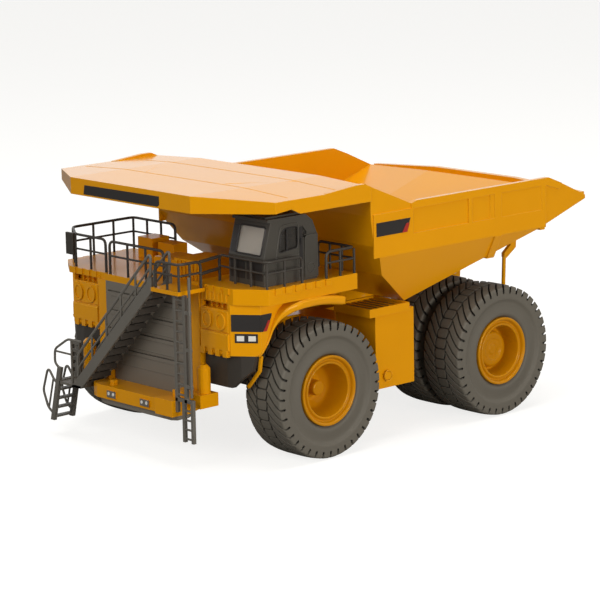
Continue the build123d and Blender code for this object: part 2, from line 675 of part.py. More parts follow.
# Fenders: a bent front panel with lamps, a side panel over the arch and its lip
arch = [  # y, z of the opening's edge
    (-17.4, 27.3), (-16.8, 33.2), (-15.5, 34.9), (-13.9, 36.0), (-12.0, 36.6), (-8.8, 37.1),
    (0.6, 37.2), (5.6, 36.4),
]
lip_edge = [  # y, z of the lip's outer edge, from the rear
    (5.6, 37.4), (0.6, 38.1), (-8.9, 38.1), (-12.2, 37.6), (-14.4, 37.0), (-16.2, 35.8),
    (-17.7, 33.6), (-18.3, 27.3),
]
pocket = 0.5
lamp_sides = 14
lamp_turns = [2 * pi * corner / lamp_sides for corner in range(lamp_sides)]
strip_top = {"left": left_deck_z - 0.2, "right": deck_under_z}
for side_name, side in (("left", 1), ("right", -1)):
    top_z = deck_under_z
    with BuildPart() as fender:
        slab(plan_plane(fender_bottom_z), mirrored(side, [
            (fender_inner_x, fender_nose), (fender_nose_half, fender_nose),
            (fender_half, fender_bend), (fender_half, -14.4), (fender_half - fender_wall, -14.4),
            (fender_half - fender_wall, fender_bend + 0.5),
            (fender_nose_half - 0.5, fender_nose + fender_wall),
            (fender_inner_x, fender_nose + fender_wall),
        ]), top_z - fender_bottom_z)
        slab(side_plane(side * (fender_half - fender_wall)), arch + [
            (5.6, top_z), (fender_bend, top_z), (fender_bend, 27.3),
        ], side * fender_wall)
        slab(side_plane(side * (fender_half - fender_wall)), arch + lip_edge,
             side * (arch_lip_x - fender_half + fender_wall))
        strip_end = fender_inner_x + 2.9
        block(side * fender_inner_x, side * strip_end, fender_nose - 0.35, fender_nose,
              fender_bottom_z, strip_top[side_name])
        block(side * fender_inner_x, side * strip_end, fender_nose - 0.35, fender_nose + 0.9,
              end_block_top, fender_bottom_z)
        slab(front_plane(-17.5), mirrored(side, [  # thin edge behind the splash guard
            (33.4, fender_bottom_z), (34.1, fender_bottom_z), (33.5, 22.8), (29.4, 18.3), (28.9, 18.8),
            (32.8, 23.1),
        ]), 0.6)
        block(side * 19.2, side * 28.0, fender_nose, fender_nose + pocket, 36.9, top_z, Mode.SUBTRACT)
        block(side * 19.0, side * 28.2, fender_nose - 0.5, fender_nose, 27.6, 31.2)
        for tooth in range(4):
            x = side * (19.4 + tooth * 2.6)
            block(x - 0.7, x + 0.7, fender_nose - 0.5, fender_nose + 0.6, tooth_bottom_z, 27.6)
        for lamp_x in lamp_places:
            slab(front_plane(fender_nose), [
                (side * lamp_x + 1.5 * cos(turn), lamp_z + 1.9 * sin(turn)) for turn in lamp_turns
            ], 0.5)
    finish(fender, f"fender_{side_name}")

# Decks over the wheels and the engine
tab_out = 0.35
for label, side, top_z, rear in (
    ("left_deck", 1, left_deck_z, deck_rear), ("right_deck", -1, right_deck_z, right_deck_rear),
):
    with BuildPart() as deck:
        slab(plan_plane(deck_under_z), mirrored(side, [
            (fender_inner_x, fender_nose), (fender_nose_half + 1.2, fender_nose),
            (deck_half, fender_bend + 0.4), (deck_half, rear), (fender_inner_x, rear),
        ]), top_z - deck_under_z)
        for tab in range(6):  # upright tabs on the deck's side
            y = fender_bend + 2.2 + tab * 3.1
            block(side * deck_half, side * (deck_half + tab_out), y, y + 1.7, top_z - 1.5, top_z)
        for tab in range(4):  # and on its front
            x = fender_inner_x + 3.6 + tab * 2.7
            block(side * x, side * (x + 1.5), fender_nose - tab_out, fender_nose, top_z - 1.5, top_z)
    finish(deck, label)
centre_rear = 6.0
with BuildPart() as centre_deck:
    block(-fender_inner_x, fender_inner_x, grille_face, centre_rear, grille_top_z, right_deck_z)
    block(-fender_inner_x, fender_inner_x, frame_front - 0.9, centre_rear, rail_top, grille_top_z)
finish(centre_deck, "centre_deck")

# Cabinets and air cleaners on the centre and right decks
with BuildPart() as cabinets:
    for x0, x1, y0, y1, height in (
        (-27.0, -21.5, -3.0, 2.4, 5.0), (-20.5, -14.5, -2.0, 2.2, 4.2),
        (-10.0, -2.0, -12.0, -4.0, 3.4), (0.0, 9.0, -14.0, -4.0, 4.6),
    ):
        block(x0, x1, y0, y1, right_deck_z, right_deck_z + height)
    for rib in range(6):
        x = 0.9 + rib * 1.4
        block(x, x + 0.6, -14.4, -14.0, right_deck_z, right_deck_z + 4.2)
finish(cabinets, "deck_cabinets")

# Cab: a hollow box with its windows cut
cab_right_x = cab_left_x - cab_width
cab_rear = cab_front + cab_length
cab_floor_z = left_deck_z
cab_roof_z = cab_floor_z + cab_height
sill_z = cab_floor_z + 6.9
windscreen_lean = 2.4
cab_nose = cab_front - 0.4
cab_side = [
    (cab_nose, cab_floor_z), (cab_rear, cab_floor_z), (cab_rear, cab_roof_z - 4.4),
    (cab_rear - 1.2, cab_roof_z - 1.6), (cab_rear - 3.2, cab_roof_z),
    (cab_nose + windscreen_lean, cab_roof_z), (cab_nose, sill_z - 0.4),
]
cab_room = [
    (cab_nose + 1.0, cab_floor_z + 1.0), (cab_rear - 1.0, cab_floor_z + 1.0),
    (cab_rear - 1.0, cab_roof_z - 4.6),
    (cab_rear - 3.6, cab_roof_z - 1.0), (cab_nose + windscreen_lean + 0.8, cab_roof_z - 1.0),
    (cab_nose + 1.0, sill_z - 0.4),
]
side_window = [(4.2, 0.4), (9.9, 1.0), (9.9, 5.8), (6.0, 5.8), (4.8, 4.6)]
quarter_window = [(11.4, 5.9), (11.4, 3.0), (12.8, 3.0), (12.8, 4.2)]


def from_sill(points):
    """Window corners given back from the cab's front and up from its sill."""
    return [(cab_front + a, sill_z + b) for a, b in points]


with BuildPart() as cab:
    slab(side_plane(cab_right_x), cab_side, cab_width)
    slab(side_plane(cab_right_x + cab_wall), cab_room, cab_width - 2 * cab_wall, Mode.SUBTRACT)
    block(cab_right_x + 2.2, cab_left_x - 1.2, cab_front - 5, cab_front + 3.0,
          sill_z, cab_roof_z - 1.8, Mode.SUBTRACT)
    for window in (side_window, quarter_window):
        slab(side_plane(cab_right_x - 1), from_sill(window), cab_width + 2, Mode.SUBTRACT)
    for side_x, out in ((cab_left_x, 1), (cab_right_x, -1)):  # rear box and door edge
        slab(side_plane(side_x), [
            (cab_rear - 4.0, cab_floor_z + 0.6), (cab_rear, cab_floor_z + 0.6), (cab_rear, cab_floor_z + 10.4),
            (cab_rear - 3.4, cab_floor_z + 10.4), (cab_rear - 4.0, cab_floor_z + 9.6),
        ], out * 0.4)
    block(cab_right_x + 1.4, cab_left_x - 1.4, cab_nose + 2.0, cab_rear - 3.4, cab_roof_z, cab_roof_z + 0.4)
    visor_y = cab_nose + windscreen_lean
    block(cab_right_x, cab_left_x, visor_y - 1.1, visor_y + 0.4, cab_roof_z - 0.7, cab_roof_z)
finish(cab, "cab_shell")

# Window panes sit in the openings
with BuildPart() as panes:
    pane_low = (cab_nose + 0.3, sill_z)
    pane_high = (cab_nose + 0.3 + windscreen_lean * 0.82, cab_roof_z - 1.8)
    slab(side_plane(cab_right_x + 2.2), [
        pane_low, (pane_low[0] + glass_thick, pane_low[1]), (pane_high[0] + glass_thick, pane_high[1]), pane_high,
    ], cab_width - 3.4)
    for side_x in (cab_left_x - 0.3 - glass_thick, cab_right_x + 0.3):
        for window in (side_window, quarter_window):
            slab(side_plane(side_x), from_sill(window), glass_thick)
finish(panes, "cab_windows")

with BuildPart() as seat:
    block(cab_right_x + 3.6, cab_left_x - 3.6, cab_front + 6, cab_front + 10.5, cab_floor_z + 1.0, cab_floor_z + 4.6)
    block(cab_right_x + 3.6, cab_left_x - 3.6, cab_front + 9.3, cab_front + 10.5,
          cab_floor_z + 4.6, cab_floor_z + 10.0)
finish(seat, "cab_seat")
with BuildPart() as console:
    block(cab_right_x + 3.0, cab_left_x - 3.0, cab_front + 0.8, cab_front + 2.6, cab_floor_z + 1.0, cab_floor_z + 5.6)
finish(console, "cab_console")

# Stairway across the front: deep stringers, treads, landing and top platform
landing_low = landing_z - 0.6
foot_x = stair_foot[0] - (stair_foot[1] - landing_low) / stair_slope
front_y = stair_y[0]
hand_rail = 9.2
middle_rail = 6.0


def stair_edge(x, lift=0.0):
    """Height of the stringer's lower edge at x."""
    return stair_foot[1] + (x - stair_foot[0]) * stair_slope + lift


with BuildPart() as stairway:
    for y in stair_y:
        slab(front_plane(y + stringer / 2), [
            (foot_x, landing_low), (stair_top_x, stair_edge(stair_top_x)),
            (stair_top_x, stair_edge(stair_top_x, stringer_depth)), (foot_x - 3.4, landing_low + 0.2),
            (foot_x - 3.4, landing_low),
        ], stringer)
        rail_low_x = foot_x - 1.5
        for lift in (middle_rail, hand_rail):
            strut((rail_low_x, y, stair_edge(rail_low_x, lift)), (stair_top_x, y, stair_edge(stair_top_x, lift)))
        for post in range(5):
            x = rail_low_x + post * (stair_top_x - bar - rail_low_x) / 4
            block(x, x + bar, y - bar / 2, y + bar / 2, stair_edge(x, stringer_depth - 1), stair_edge(x, hand_rail))
    for step in range(stair_steps):
        x = foot_x + (step + 0.5) * (stair_top_x - foot_x) / stair_steps
        z = stair_edge(x, stringer_depth * 0.45)
        block(x - 1.3, x + 0.9, stair_y[0], stair_y[1], z - 0.2, z + 0.2)
    block(-24.0, foot_x, stair_y[0] - stringer / 2, stair_back, landing_low, landing_z)
finish(stairway, "stairway")

# Top platform between the stairway, the ladder and the decks
with BuildPart() as platform:
    block(stair_top_x, platform_right, front_y - stringer / 2, grille_face, stair_top_z - 0.9, stair_top_z)
    block(stair_top_x, fender_inner_x, fender_nose - 1.4, grille_face, right_deck_z - 1.6, stair_top_z - 0.9)
finish(platform, "stair_platform")

# Vertical ladder beside the stairway
ladder_y = -28.9
ladder_low = 15.6
with BuildPart() as ladder:
    for x in (17.9, 22.3):
        strut((x, ladder_y, ladder_low), (x, ladder_y, stair_top_z - 0.9), 0.8)
    for rung in range(10):
        z = 17.2 + rung * 2.45
        block(17.9, 22.3, ladder_y - 0.2, ladder_y + 0.2, z, z + 0.4)
    for x in (20.2, 23.2):
        strut((x, ladder_y, 6.3), (x, ladder_y, ladder_low), 0.8)
    for rung in range(4):
        z = 6.9 + rung * 2.2
        block(20.2, 23.2, ladder_y - 0.2, ladder_y + 0.2, z, z + 0.4)
    block(17.5, 23.6, ladder_y - 0.4, ladder_y + 0.4, ladder_low, ladder_low + 0.8)
    block(bumper_half, 18.3, ladder_y - 0.4, ladder_y + 0.4, 13.0, ladder_low)
    grab_x = 23.7
    strut((grab_x, ladder_y, ladder_low + 1.4), (grab_x, ladder_y, stair_top_z + 3.4))
    for clamp in range(3):
        z = 19.0 + clamp * 8.6
        block(22.5, grab_x, ladder_y - 0.3, ladder_y + 0.3, z, z + 0.7)
finish(ladder, "front_ladder")

# Access ladder under the landing
ladder_foot = (-27.6, 3.7)
ladder_lean = 0.25
with BuildPart() as access:
    for y in stair_y:
        slab(front_plane(y + stringer / 2), [
            (ladder_foot[0] - 0.7, ladder_foot[1]), (ladder_foot[0] + 0.7, ladder_foot[1]),
            (ladder_foot[0] + 0.7 + 13.5 * ladder_lean, ladder_foot[1] + 13.5),
            (ladder_foot[0] - 0.7 + 13.5 * ladder_lean, ladder_foot[1] + 13.5),
        ], stringer)
        for bend in (  # x, z of the bends of each bar
            [(-24.9, 12.7), (-26.8, 13.6), (-28.6, 15.9), (-29.4, 15.7), (-31.3, 10.5), (-29.6, 6.5), (-26.9, 4.9)],
            [(-27.2, 13.8), (-29.3, 6.4)],
        ):
            for (xa, za), (xb, zb) in zip(bend, bend[1:]):
                strut((xa, y, za), (xb, y, zb))
    for rung in range(5):
        z = ladder_foot[1] + 0.9 + rung * 2.3
        x = ladder_foot[0] + (z - ladder_foot[1]) * ladder_lean
        block(x - 0.8, x + 0.8, stair_y[0], stair_y[1], z - 0.2, z + 0.2)
    block(-25.6, -24.0, stair_y[0], stair_y[1], landing_low, landing_z)
    for bend in (  # x, z of the bends of the bars beside the landing
        [(-15.6, 24.6), (-20.9, 24.5), (-26.1, 21.4), (-26.3, 18.1), (-25.2, 17.2), (-24.0, 16.9)],
        [(-26.1, 20.9), (-19.6, 20.9)], [(-19.6, landing_z), (-19.6, 24.6)],
    ):
        for (xa, za), (xb, zb) in zip(bend, bend[1:]):
            strut((xa, stair_y[0], za), (xb, stair_y[0], zb))
    slab(front_plane(stair_y[1] + 0.3), [
        (-26.8, landing_z), (-26.8, 21.8), (-26.0, 22.8), (-23.4, 22.8), (-23.4, landing_z),
    ], 0.6)
    for slot in range(4):
        z = 15.0 + slot * 1.9
        block(-26.1, -24.1, stair_y[1] - 1, stair_y[1] + 1, z, z + 1.0, Mode.SUBTRACT)
finish(access, "access_ladder")

# Railings: each is a run of bars at deck height
with BuildPart() as cab_railing:
    railing([(20.0, -17.2), (deck_half - 0.6, -17.2), (deck_half - 0.6, -6.5)], left_deck_z, rail_height_cab, 7.0)
    railing([(deck_half - 0.6, 1.0), (deck_half - 0.6, deck_rear - 0.4), (24.0, deck_rear - 0.4)],
            left_deck_z, rail_height_cab, 7.0)
finish(cab_railing, "cab_railing")
right_rail_corner = -28.0
right_rail_front = -21.4
right_rail_side = 0.6 - deck_half
with BuildPart() as right_railing:
    railing([(-16.4, right_rail_front), (right_rail_corner, right_rail_front), (right_rail_side, -15.8),
             (right_rail_side, right_deck_rear - 0.4), (-20.0, right_deck_rear - 0.4)],
            right_deck_z, rail_height_right)
finish(right_railing, "right_railing")
with BuildPart() as centre_railing:
    railing([(-14.0, -22.1), (6.0, -22.1)], right_deck_z, rail_height_right, 7.0)
    railing([(stair_top_x + 1.0, -29.9), (platform_right - 0.4, -29.9), (platform_right - 0.4, -23.4)],
            stair_top_z, rail_height_cab, 4.4)
finish(centre_railing, "centre_railing")

# Mirror plate on the front face of the right railing's corner
mirror_low = right_deck_z + 2.9
mirror_height = 5.3
mirror_thick = 0.6
mirror_back = right_rail_front - bar / 2
with BuildPart() as mirror:
    block(right_rail_corner - 2.7, right_rail_corner + 0.1, mirror_back - mirror_thick, mirror_back,
          mirror_low, mirror_low + mirror_height)
finish(mirror, "mirror")

# Side tanks hang from the frame behind the front wheels
tank_side_x = 35.6
tank_inner_x = 22.0
tank_front = tyre_radius + 0.8
tank_rear = tank_front + 12.6
tank_bottom_z = 13.0
tank_top_z = 31.2
tray_front = 14.6
tray_rear = 27.6
tray_rim = 0.6
tray_top_z = 32.6
slat_count = 6
for side_name, side in (("left", 1), ("right", -1)):
    with BuildPart() as tank:
        block(side * tank_inner_x, side * tank_side_x, tank_front, tank_rear, tank_bottom_z, tank_top_z)
        block(side * rail_outer_x, side * tank_inner_x, tank_front + 2, tank_rear - 2, rail_bottom_z, rail_top)
        tray_in = tank_inner_x + 2
        tray_out = tank_side_x + 0.6
        block(side * tray_in, side * tray_out, tray_front, tray_rear, tank_top_z - 0.6, tray_top_z)
        block(side * (tray_in + tray_rim), side * (tray_out - tray_rim), tray_front + tray_rim,
              tray_rear - tray_rim, tank_top_z, tray_top_z, Mode.SUBTRACT)
        for slat in range(slat_count):
            y = tray_front + 1.5 + slat * 1.9
            block(side * tray_in, side * tray_out, y, y + 0.6, tank_top_z, tray_top_z - 0.4)
        across(side * tank_side_x, side * (tank_side_x + 0.6), tank_front + 3.4, 16.0, 1.0, sides=14)
    finish(tank, f"tank_{side_name}")
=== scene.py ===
# %% [markdown]
# # A die-cast mining dump truck, dressed for its portrait
#
# The truck's solids come ready-made and to size: frame, bed, cab, decks, rails and wheels.
# This lesson gives them their finishes and adds the small things that a moulded or cast
# model carries: lugged tyres, turned rims, blank signs, weld lines and lamp windows.
# The solids are in metres, and the new pieces are drawn in millimetres in the same frame.

# %% Load the solids
import json
from math import cos, pi, radians, sin, tan

import bpy
import numpy as np
from mathutils import Matrix, Vector


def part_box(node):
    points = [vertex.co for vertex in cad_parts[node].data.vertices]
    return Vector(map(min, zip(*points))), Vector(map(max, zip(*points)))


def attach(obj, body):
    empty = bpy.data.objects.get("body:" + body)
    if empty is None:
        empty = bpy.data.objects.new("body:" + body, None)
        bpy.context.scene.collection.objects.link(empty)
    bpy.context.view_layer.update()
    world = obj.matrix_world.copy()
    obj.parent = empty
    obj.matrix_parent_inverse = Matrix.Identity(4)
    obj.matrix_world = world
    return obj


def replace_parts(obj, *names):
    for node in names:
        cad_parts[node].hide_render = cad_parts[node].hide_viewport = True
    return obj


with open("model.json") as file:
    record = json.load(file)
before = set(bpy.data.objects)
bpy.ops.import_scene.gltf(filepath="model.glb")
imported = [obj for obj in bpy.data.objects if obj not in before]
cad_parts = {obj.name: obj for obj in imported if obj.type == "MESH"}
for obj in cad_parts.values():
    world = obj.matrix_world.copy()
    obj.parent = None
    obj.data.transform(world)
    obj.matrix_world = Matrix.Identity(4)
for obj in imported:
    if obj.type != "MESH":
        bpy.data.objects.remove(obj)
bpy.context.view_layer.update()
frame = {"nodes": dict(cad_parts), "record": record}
nodes = frame["nodes"]
MM = 0.001

# %% [markdown]
# ## Where the sizes come from
#
# The front axle is the natural ruler of a truck: lamps, lugs and signs are measured back from
# it and up from the ground. Its place is read from the rim, so what follows goes where the
# axle goes.

# %% The axles
def middle(node):
    low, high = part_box(node)
    return (np.array(low) + np.array(high)) / 2


front_axle = middle("rim_front_left")
rear_axle = middle("rim_rear_left")
TYRE_RADIUS = front_axle[2]
print("front axle at y %.4f, tyre radius %.4f" % (front_axle[1], TYRE_RADIUS))


def place(x, y, z):
    """A point given in millimetres: across, back from the front axle, up from the ground."""
    return np.array([x * MM, front_axle[1] + y * MM, z * MM])


# %% [markdown]
# ## The camera
#
# The photograph was taken with a long lens from the truck's left front quarter, a little
# above it. A long lens keeps the far side nearly as large as the near side, which is what
# makes a small model look like the real machine. The three angles, the distance and the
# focal length were fitted to the edges of the near wheels and to points that the truck has
# on both its sides.

# %% Camera
AZIMUTH, ELEVATION, ROLL = radians(47.736), radians(11.378), radians(-1.112)
AIM = place(0, 28.0, 25.0)
AIM_OFFSET = (1.8175 * MM, -3.0243 * MM)
CAMERA_DISTANCE = 668.19 * MM
SENSOR, FOCAL_SHARE = 36.0, 2713.76 / 600

back = Vector((sin(AZIMUTH) * cos(ELEVATION), -cos(AZIMUTH) * cos(ELEVATION), sin(ELEVATION)))
level = Vector((cos(AZIMUTH), sin(AZIMUTH), 0.0))
upward = back.cross(level)
right = cos(ROLL) * level + sin(ROLL) * upward
top = cos(ROLL) * upward - sin(ROLL) * level
eye = Vector(AIM) - AIM_OFFSET[0] * right - AIM_OFFSET[1] * top + CAMERA_DISTANCE * back

camera_data = bpy.data.cameras.new("camera")
camera_data.sensor_width = SENSOR
camera_data.lens = FOCAL_SHARE * SENSOR
camera_data.clip_start = 0.01
camera = bpy.data.objects.new("camera", camera_data)
bpy.context.scene.collection.objects.link(camera)
turn = Matrix((right, top, back)).transposed().to_4x4()
camera.matrix_world = Matrix.Translation(eye) @ turn
bpy.context.scene.camera = camera
print("camera at", [round(v, 4) for v in eye], "lens", round(camera_data.lens, 1))

# %% [markdown]
# ## The studio
#
# A white tent with three soft lamps: a broad one overhead, a warm low one on the cab's side
# and a weaker one in front. The tent looks white to the camera, in gloss and through glass,
# and lights the truck with much less than that, so that it isn't flooded with light.

# %% Studio
scene = bpy.context.scene
scene.view_settings.view_transform = "Standard"
TENT_LIGHT, TENT_SHOWN = 0.19, 0.96


def set_inputs(node, values):
    """Sets the inputs of a shader node from a table of names and values."""
    for label, value in values.items():
        node.inputs[label].default_value = value


def seen_directly(tree):
    """1 for the rays that show the background: from the camera, off gloss and through glass."""
    path = tree.nodes.new("ShaderNodeLightPath")
    total = path.outputs["Is Camera Ray"]
    for name in ("Is Glossy Ray", "Is Transmission Ray"):
        either = tree.nodes.new("ShaderNodeMath")
        either.operation = "MAXIMUM"
        tree.links.new(total, either.inputs[0])
        tree.links.new(path.outputs[name], either.inputs[1])
        total = either.outputs[0]
    return total


world = bpy.data.worlds.new("tent")
scene.world = world
world.use_nodes = True
tree = world.node_tree
tree.nodes.clear()
out = tree.nodes.new("ShaderNodeOutputWorld")
mix = tree.nodes.new("ShaderNodeMixShader")
soft = tree.nodes.new("ShaderNodeBackground")
white = tree.nodes.new("ShaderNodeBackground")
set_inputs(soft, {"Color": (1.0, 0.985, 0.96, 1), "Strength": TENT_LIGHT})
set_inputs(white, {"Color": (1, 1, 1, 1), "Strength": TENT_SHOWN})
tree.links.new(seen_directly(tree), mix.inputs["Fac"])
tree.links.new(soft.outputs["Background"], mix.inputs[1])
tree.links.new(white.outputs["Background"], mix.inputs[2])
tree.links.new(mix.outputs["Shader"], out.inputs["Surface"])


def lamp(name, spot, aim, width, energy, colour=(1, 1, 1)):
    """A square area light at one point, turned to another."""
    data = bpy.data.lights.new(name, "AREA")
    data.size = width
    data.energy = energy
    data.color = colour
    thing = bpy.data.objects.new(name, data)
    scene.collection.objects.link(thing)
    thing.location = spot
    thing.rotation_euler = (Vector(aim) - Vector(spot)).to_track_quat("-Z", "Y").to_euler()


lamp("overhead", (0.0, 0.05, 0.6), (0, 0, 0.03), 0.42, 2.5)
lamp("right_side", (0.55, -0.04, 0.05), (0, 0, 0.03), 0.3, 2.45, (1.0, 0.97, 0.93))
lamp("front", (0.1, -0.5, 0.3), (0, 0, 0.03), 0.3, 1.15)

# %% [markdown]
# ## Making surfaces from arrays
#
# Most new pieces below are a grid of points worked out from two parameters, or a profile
# carried along a path. Both end as a grid of quads, so one helper lists the faces of a whole
# array of points. A direction that closes on itself, such as once round a tyre, joins its
# last row to its first.

# %% Grid helper
def grid_faces(rows, columns, close_rows=False, close_columns=False):
    """Quads of a rows x columns grid; point (i, j) has the number i * columns + j."""
    i = np.arange(rows if close_rows else rows - 1)
    j = np.arange(columns if close_columns else columns - 1)
    i, j = np.meshgrid(i, j, indexing="ij")
    down, across = (i + 1) % rows, (j + 1) % columns
    corners = [i * columns + j, i * columns + across, down * columns + across, down * columns + j]
    return np.stack([c.ravel() for c in corners], axis=1)


def mesh_object(name, points, faces, smooth=True):
    """A mesh from an (n, 3) array of points in metres and a list or array of faces."""
    mesh = bpy.data.meshes.new(name)
    faces = [np.asarray(face).tolist() for face in faces]
    mesh.from_pydata(np.asarray(points, float).reshape(-1, 3).tolist(), [], faces)
    mesh.polygons.foreach_set("use_smooth", np.full(len(mesh.polygons), smooth))
    mesh.update()
    thing = bpy.data.objects.new(name, mesh)
    scene.collection.objects.link(thing)
    return thing


def dress(thing, body, material):
    """Gives a new piece its material and the body that it rides on."""
    thing.data.materials.clear()
    thing.data.materials.append(material)
    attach(thing, body)
    print("%-28s %6d faces on %s" % (thing.name, len(thing.data.polygons), body))
    return thing


# %% [markdown]
# ## Finishes that share their parts
#
# Die-cast enamel, black mouldings and rubber all have two things in common: their corners are
# never knife-sharp, and their faces are never perfectly even. Two small node groups hold
# these effects, so each finish only says how strong they are.

# %% Node groups
def new_group(name, inputs, outputs):
    """A shader group with plain float inputs, each (name, default), and typed outputs."""
    group = bpy.data.node_groups.new(name, "ShaderNodeTree")
    for label, value in inputs:
        socket = group.interface.new_socket(label, in_out="INPUT", socket_type="NodeSocketFloat")
        socket.default_value = value
    for label, kind in outputs:
        group.interface.new_socket(label, in_out="OUTPUT", socket_type=kind)
    return group, group.nodes.new("NodeGroupInput"), group.nodes.new("NodeGroupOutput")


def math_node(tree, operation, first, second=None, clamp=False):
    """A Math node whose inputs are sockets or plain numbers; gives its output socket."""
    node = tree.nodes.new("ShaderNodeMath")
    node.operation = operation
    node.use_clamp = clamp
    for socket, value in zip(node.inputs, (first, second)):
        if isinstance(value, bpy.types.NodeSocket):
            tree.links.new(value, socket)
        elif value is not None:
            socket.default_value = value
    return node.outputs[0]


def mix_node(tree, share, first, second, blend="MIX"):
    """A colour Mix node between sockets or plain colours; gives its output socket."""
    node = tree.nodes.new("ShaderNodeMix")
    node.data_type = "RGBA"
    node.blend_type = blend
    tree.links.new(share, node.inputs["Factor"])
    for socket, value in ((node.inputs["A"], first), (node.inputs["B"], second)):
        if isinstance(value, bpy.types.NodeSocket):
            tree.links.new(value, socket)
        else:
            socket.default_value = (*value, 1)
    return node.outputs["Result"]


def soft_corner_group():
    """Normal of a corner rounded by Radius, and a mask that is 1 on the corner itself."""
    group, into, out = new_group("soft_corners", [("Radius", 0.0002)],
                                 [("Normal", "NodeSocketVector"), ("Corner", "NodeSocketFloat")])
    bevel = group.nodes.new("ShaderNodeBevel")
    bevel.samples = 6
    group.links.new(into.outputs["Radius"], bevel.inputs["Radius"])
    geometry = group.nodes.new("ShaderNodeNewGeometry")
    dot = group.nodes.new("ShaderNodeVectorMath")
    dot.operation = "DOT_PRODUCT"
    group.links.new(bevel.outputs["Normal"], dot.inputs[0])
    group.links.new(geometry.outputs["True Normal"], dot.inputs[1])
    turned_by = math_node(group, "SUBTRACT", 1.0, dot.outputs["Value"], clamp=True)
    group.links.new(bevel.outputs["Normal"], out.inputs["Normal"])
    group.links.new(math_node(group, "MULTIPLY", turned_by, 6.0, clamp=True), out.inputs["Corner"])
    return group


def unevenness_group():
    """Slow mottling (0 to 1) and a fine grain for a bump, from noise on Object coordinates."""
    group, into, out = new_group("unevenness", [("Mottle scale", 60.0), ("Grain scale", 1500.0)],
                                 [("Mottle", "NodeSocketFloat"), ("Grain", "NodeSocketFloat")])
    place_node = group.nodes.new("ShaderNodeTexCoord")
    for label, detail in (("Mottle", 3.0), ("Grain", 2.0)):
        noise = group.nodes.new("ShaderNodeTexNoise")
        noise.inputs["Detail"].default_value = detail
        group.links.new(place_node.outputs["Object"], noise.inputs["Vector"])
        group.links.new(into.outputs[label + " scale"], noise.inputs["Scale"])
        group.links.new(noise.outputs["Fac"], out.inputs[label])
    return group


SOFT_CORNERS = soft_corner_group()
UNEVENNESS = unevenness_group()
print("node groups:", [g.name for g in bpy.data.node_groups])


# %% [markdown]
# ## One recipe for every solid finish
#
# Enamel, plastic, rubber and steel differ in colour, gloss, corner radius and grain, and not
# in how they are built. The recipe mixes two close colours by the mottling, lightens the
# corners with a painted highlight where light would catch them, and bends the normal by corner and grain.

# %% Solid finish
def finish_material(name, colour, deep, corner_highlight, roughness, corner=0.2, highlight_share=0.5,
                    grain=0.1, grain_scale=1500.0, metallic=0.0, coat=0.0, ior=1.3,
                    gloss_tint=(1, 1, 1)):
    """Principled finish: linear colours, a corner radius in millimetres and a bump strength."""
    material = bpy.data.materials.new(name)
    material.use_nodes = True
    tree = material.node_tree
    shader = tree.nodes["Principled BSDF"]
    corners = tree.nodes.new("ShaderNodeGroup")
    corners.node_tree = SOFT_CORNERS
    set_inputs(corners, {"Radius": corner * MM})
    uneven = tree.nodes.new("ShaderNodeGroup")
    uneven.node_tree = UNEVENNESS
    set_inputs(uneven, {"Grain scale": grain_scale})
    body_colour = mix_node(tree, uneven.outputs["Mottle"], deep, colour)
    # painted highlight: the corners are mixed towards a lighter colour, as if light caught them
    highlight_mask = math_node(tree, "MULTIPLY", corners.outputs["Corner"], highlight_share)
    painted = mix_node(tree, highlight_mask, body_colour, corner_highlight)
    tree.links.new(painted, shader.inputs["Base Color"])
    rough = math_node(tree, "MULTIPLY_ADD", uneven.outputs["Mottle"], 0.12)
    rough.node.inputs[2].default_value = roughness - 0.06
    tree.links.new(rough, shader.inputs["Roughness"])
    bump = tree.nodes.new("ShaderNodeBump")
    set_inputs(bump, {"Strength": grain, "Distance": 0.05 * MM})
    tree.links.new(uneven.outputs["Grain"], bump.inputs["Height"])
    tree.links.new(corners.outputs["Normal"], bump.inputs["Normal"])
    tree.links.new(bump.outputs["Normal"], shader.inputs["Normal"])
    set_inputs(shader, {"Metallic": metallic, "IOR": ior, "Specular Tint": (*gloss_tint, 1),
                        "Coat Weight": coat, "Coat Roughness": 0.14, "Coat IOR": 1.2})
    return material


def darkened_by(attribute, material, share):
    """Multiplies a finish's colour by 1 - share where the mesh's own attribute is 1."""
    tree = material.node_tree
    shader = tree.nodes["Principled BSDF"]
    colour = shader.inputs["Base Color"].links[0].from_socket
    reader = tree.nodes.new("ShaderNodeAttribute")
    reader.attribute_name = attribute
    darker = mix_node(tree, reader.outputs["Fac"], colour, (1 - share,) * 3, "MULTIPLY")
    tree.links.new(darker, shader.inputs["Base Color"])


WARM_GLOSS = (1.0, 0.6, 0.05)  # straight on, the gloss takes the paint's colour
ENAMEL = finish_material("yellow_enamel", (0.80, 0.338, 0.0015), (0.74, 0.302, 0.001),
                         (1.0, 0.52, 0.04), 0.34, corner=0.22, highlight_share=0.45, grain=0.12,
                         grain_scale=900, coat=1.0, ior=1.24, gloss_tint=WARM_GLOSS)
MOULDED_YELLOW = finish_material("yellow_moulding", (0.76, 0.318, 0.002), (0.70, 0.282, 0.0015),
                                 (1.0, 0.49, 0.04), 0.40, corner=0.15, highlight_share=0.4,
                                 grain=0.15, coat=0.5, ior=1.22, gloss_tint=WARM_GLOSS)
# painted shade: the rims get a darker copy of the yellow enamel for the shade in their bowls, and a strong
# painted highlight on their corners
RIM_SHADED_ENAMEL = finish_material("rim_enamel", (0.56, 0.225, 0.001), (0.47, 0.185, 0.001), (0.95, 0.48, 0.04),
                             0.36, corner=0.2, highlight_share=0.8, grain=0.12, coat=0.8, ior=1.22,
                             gloss_tint=WARM_GLOSS)
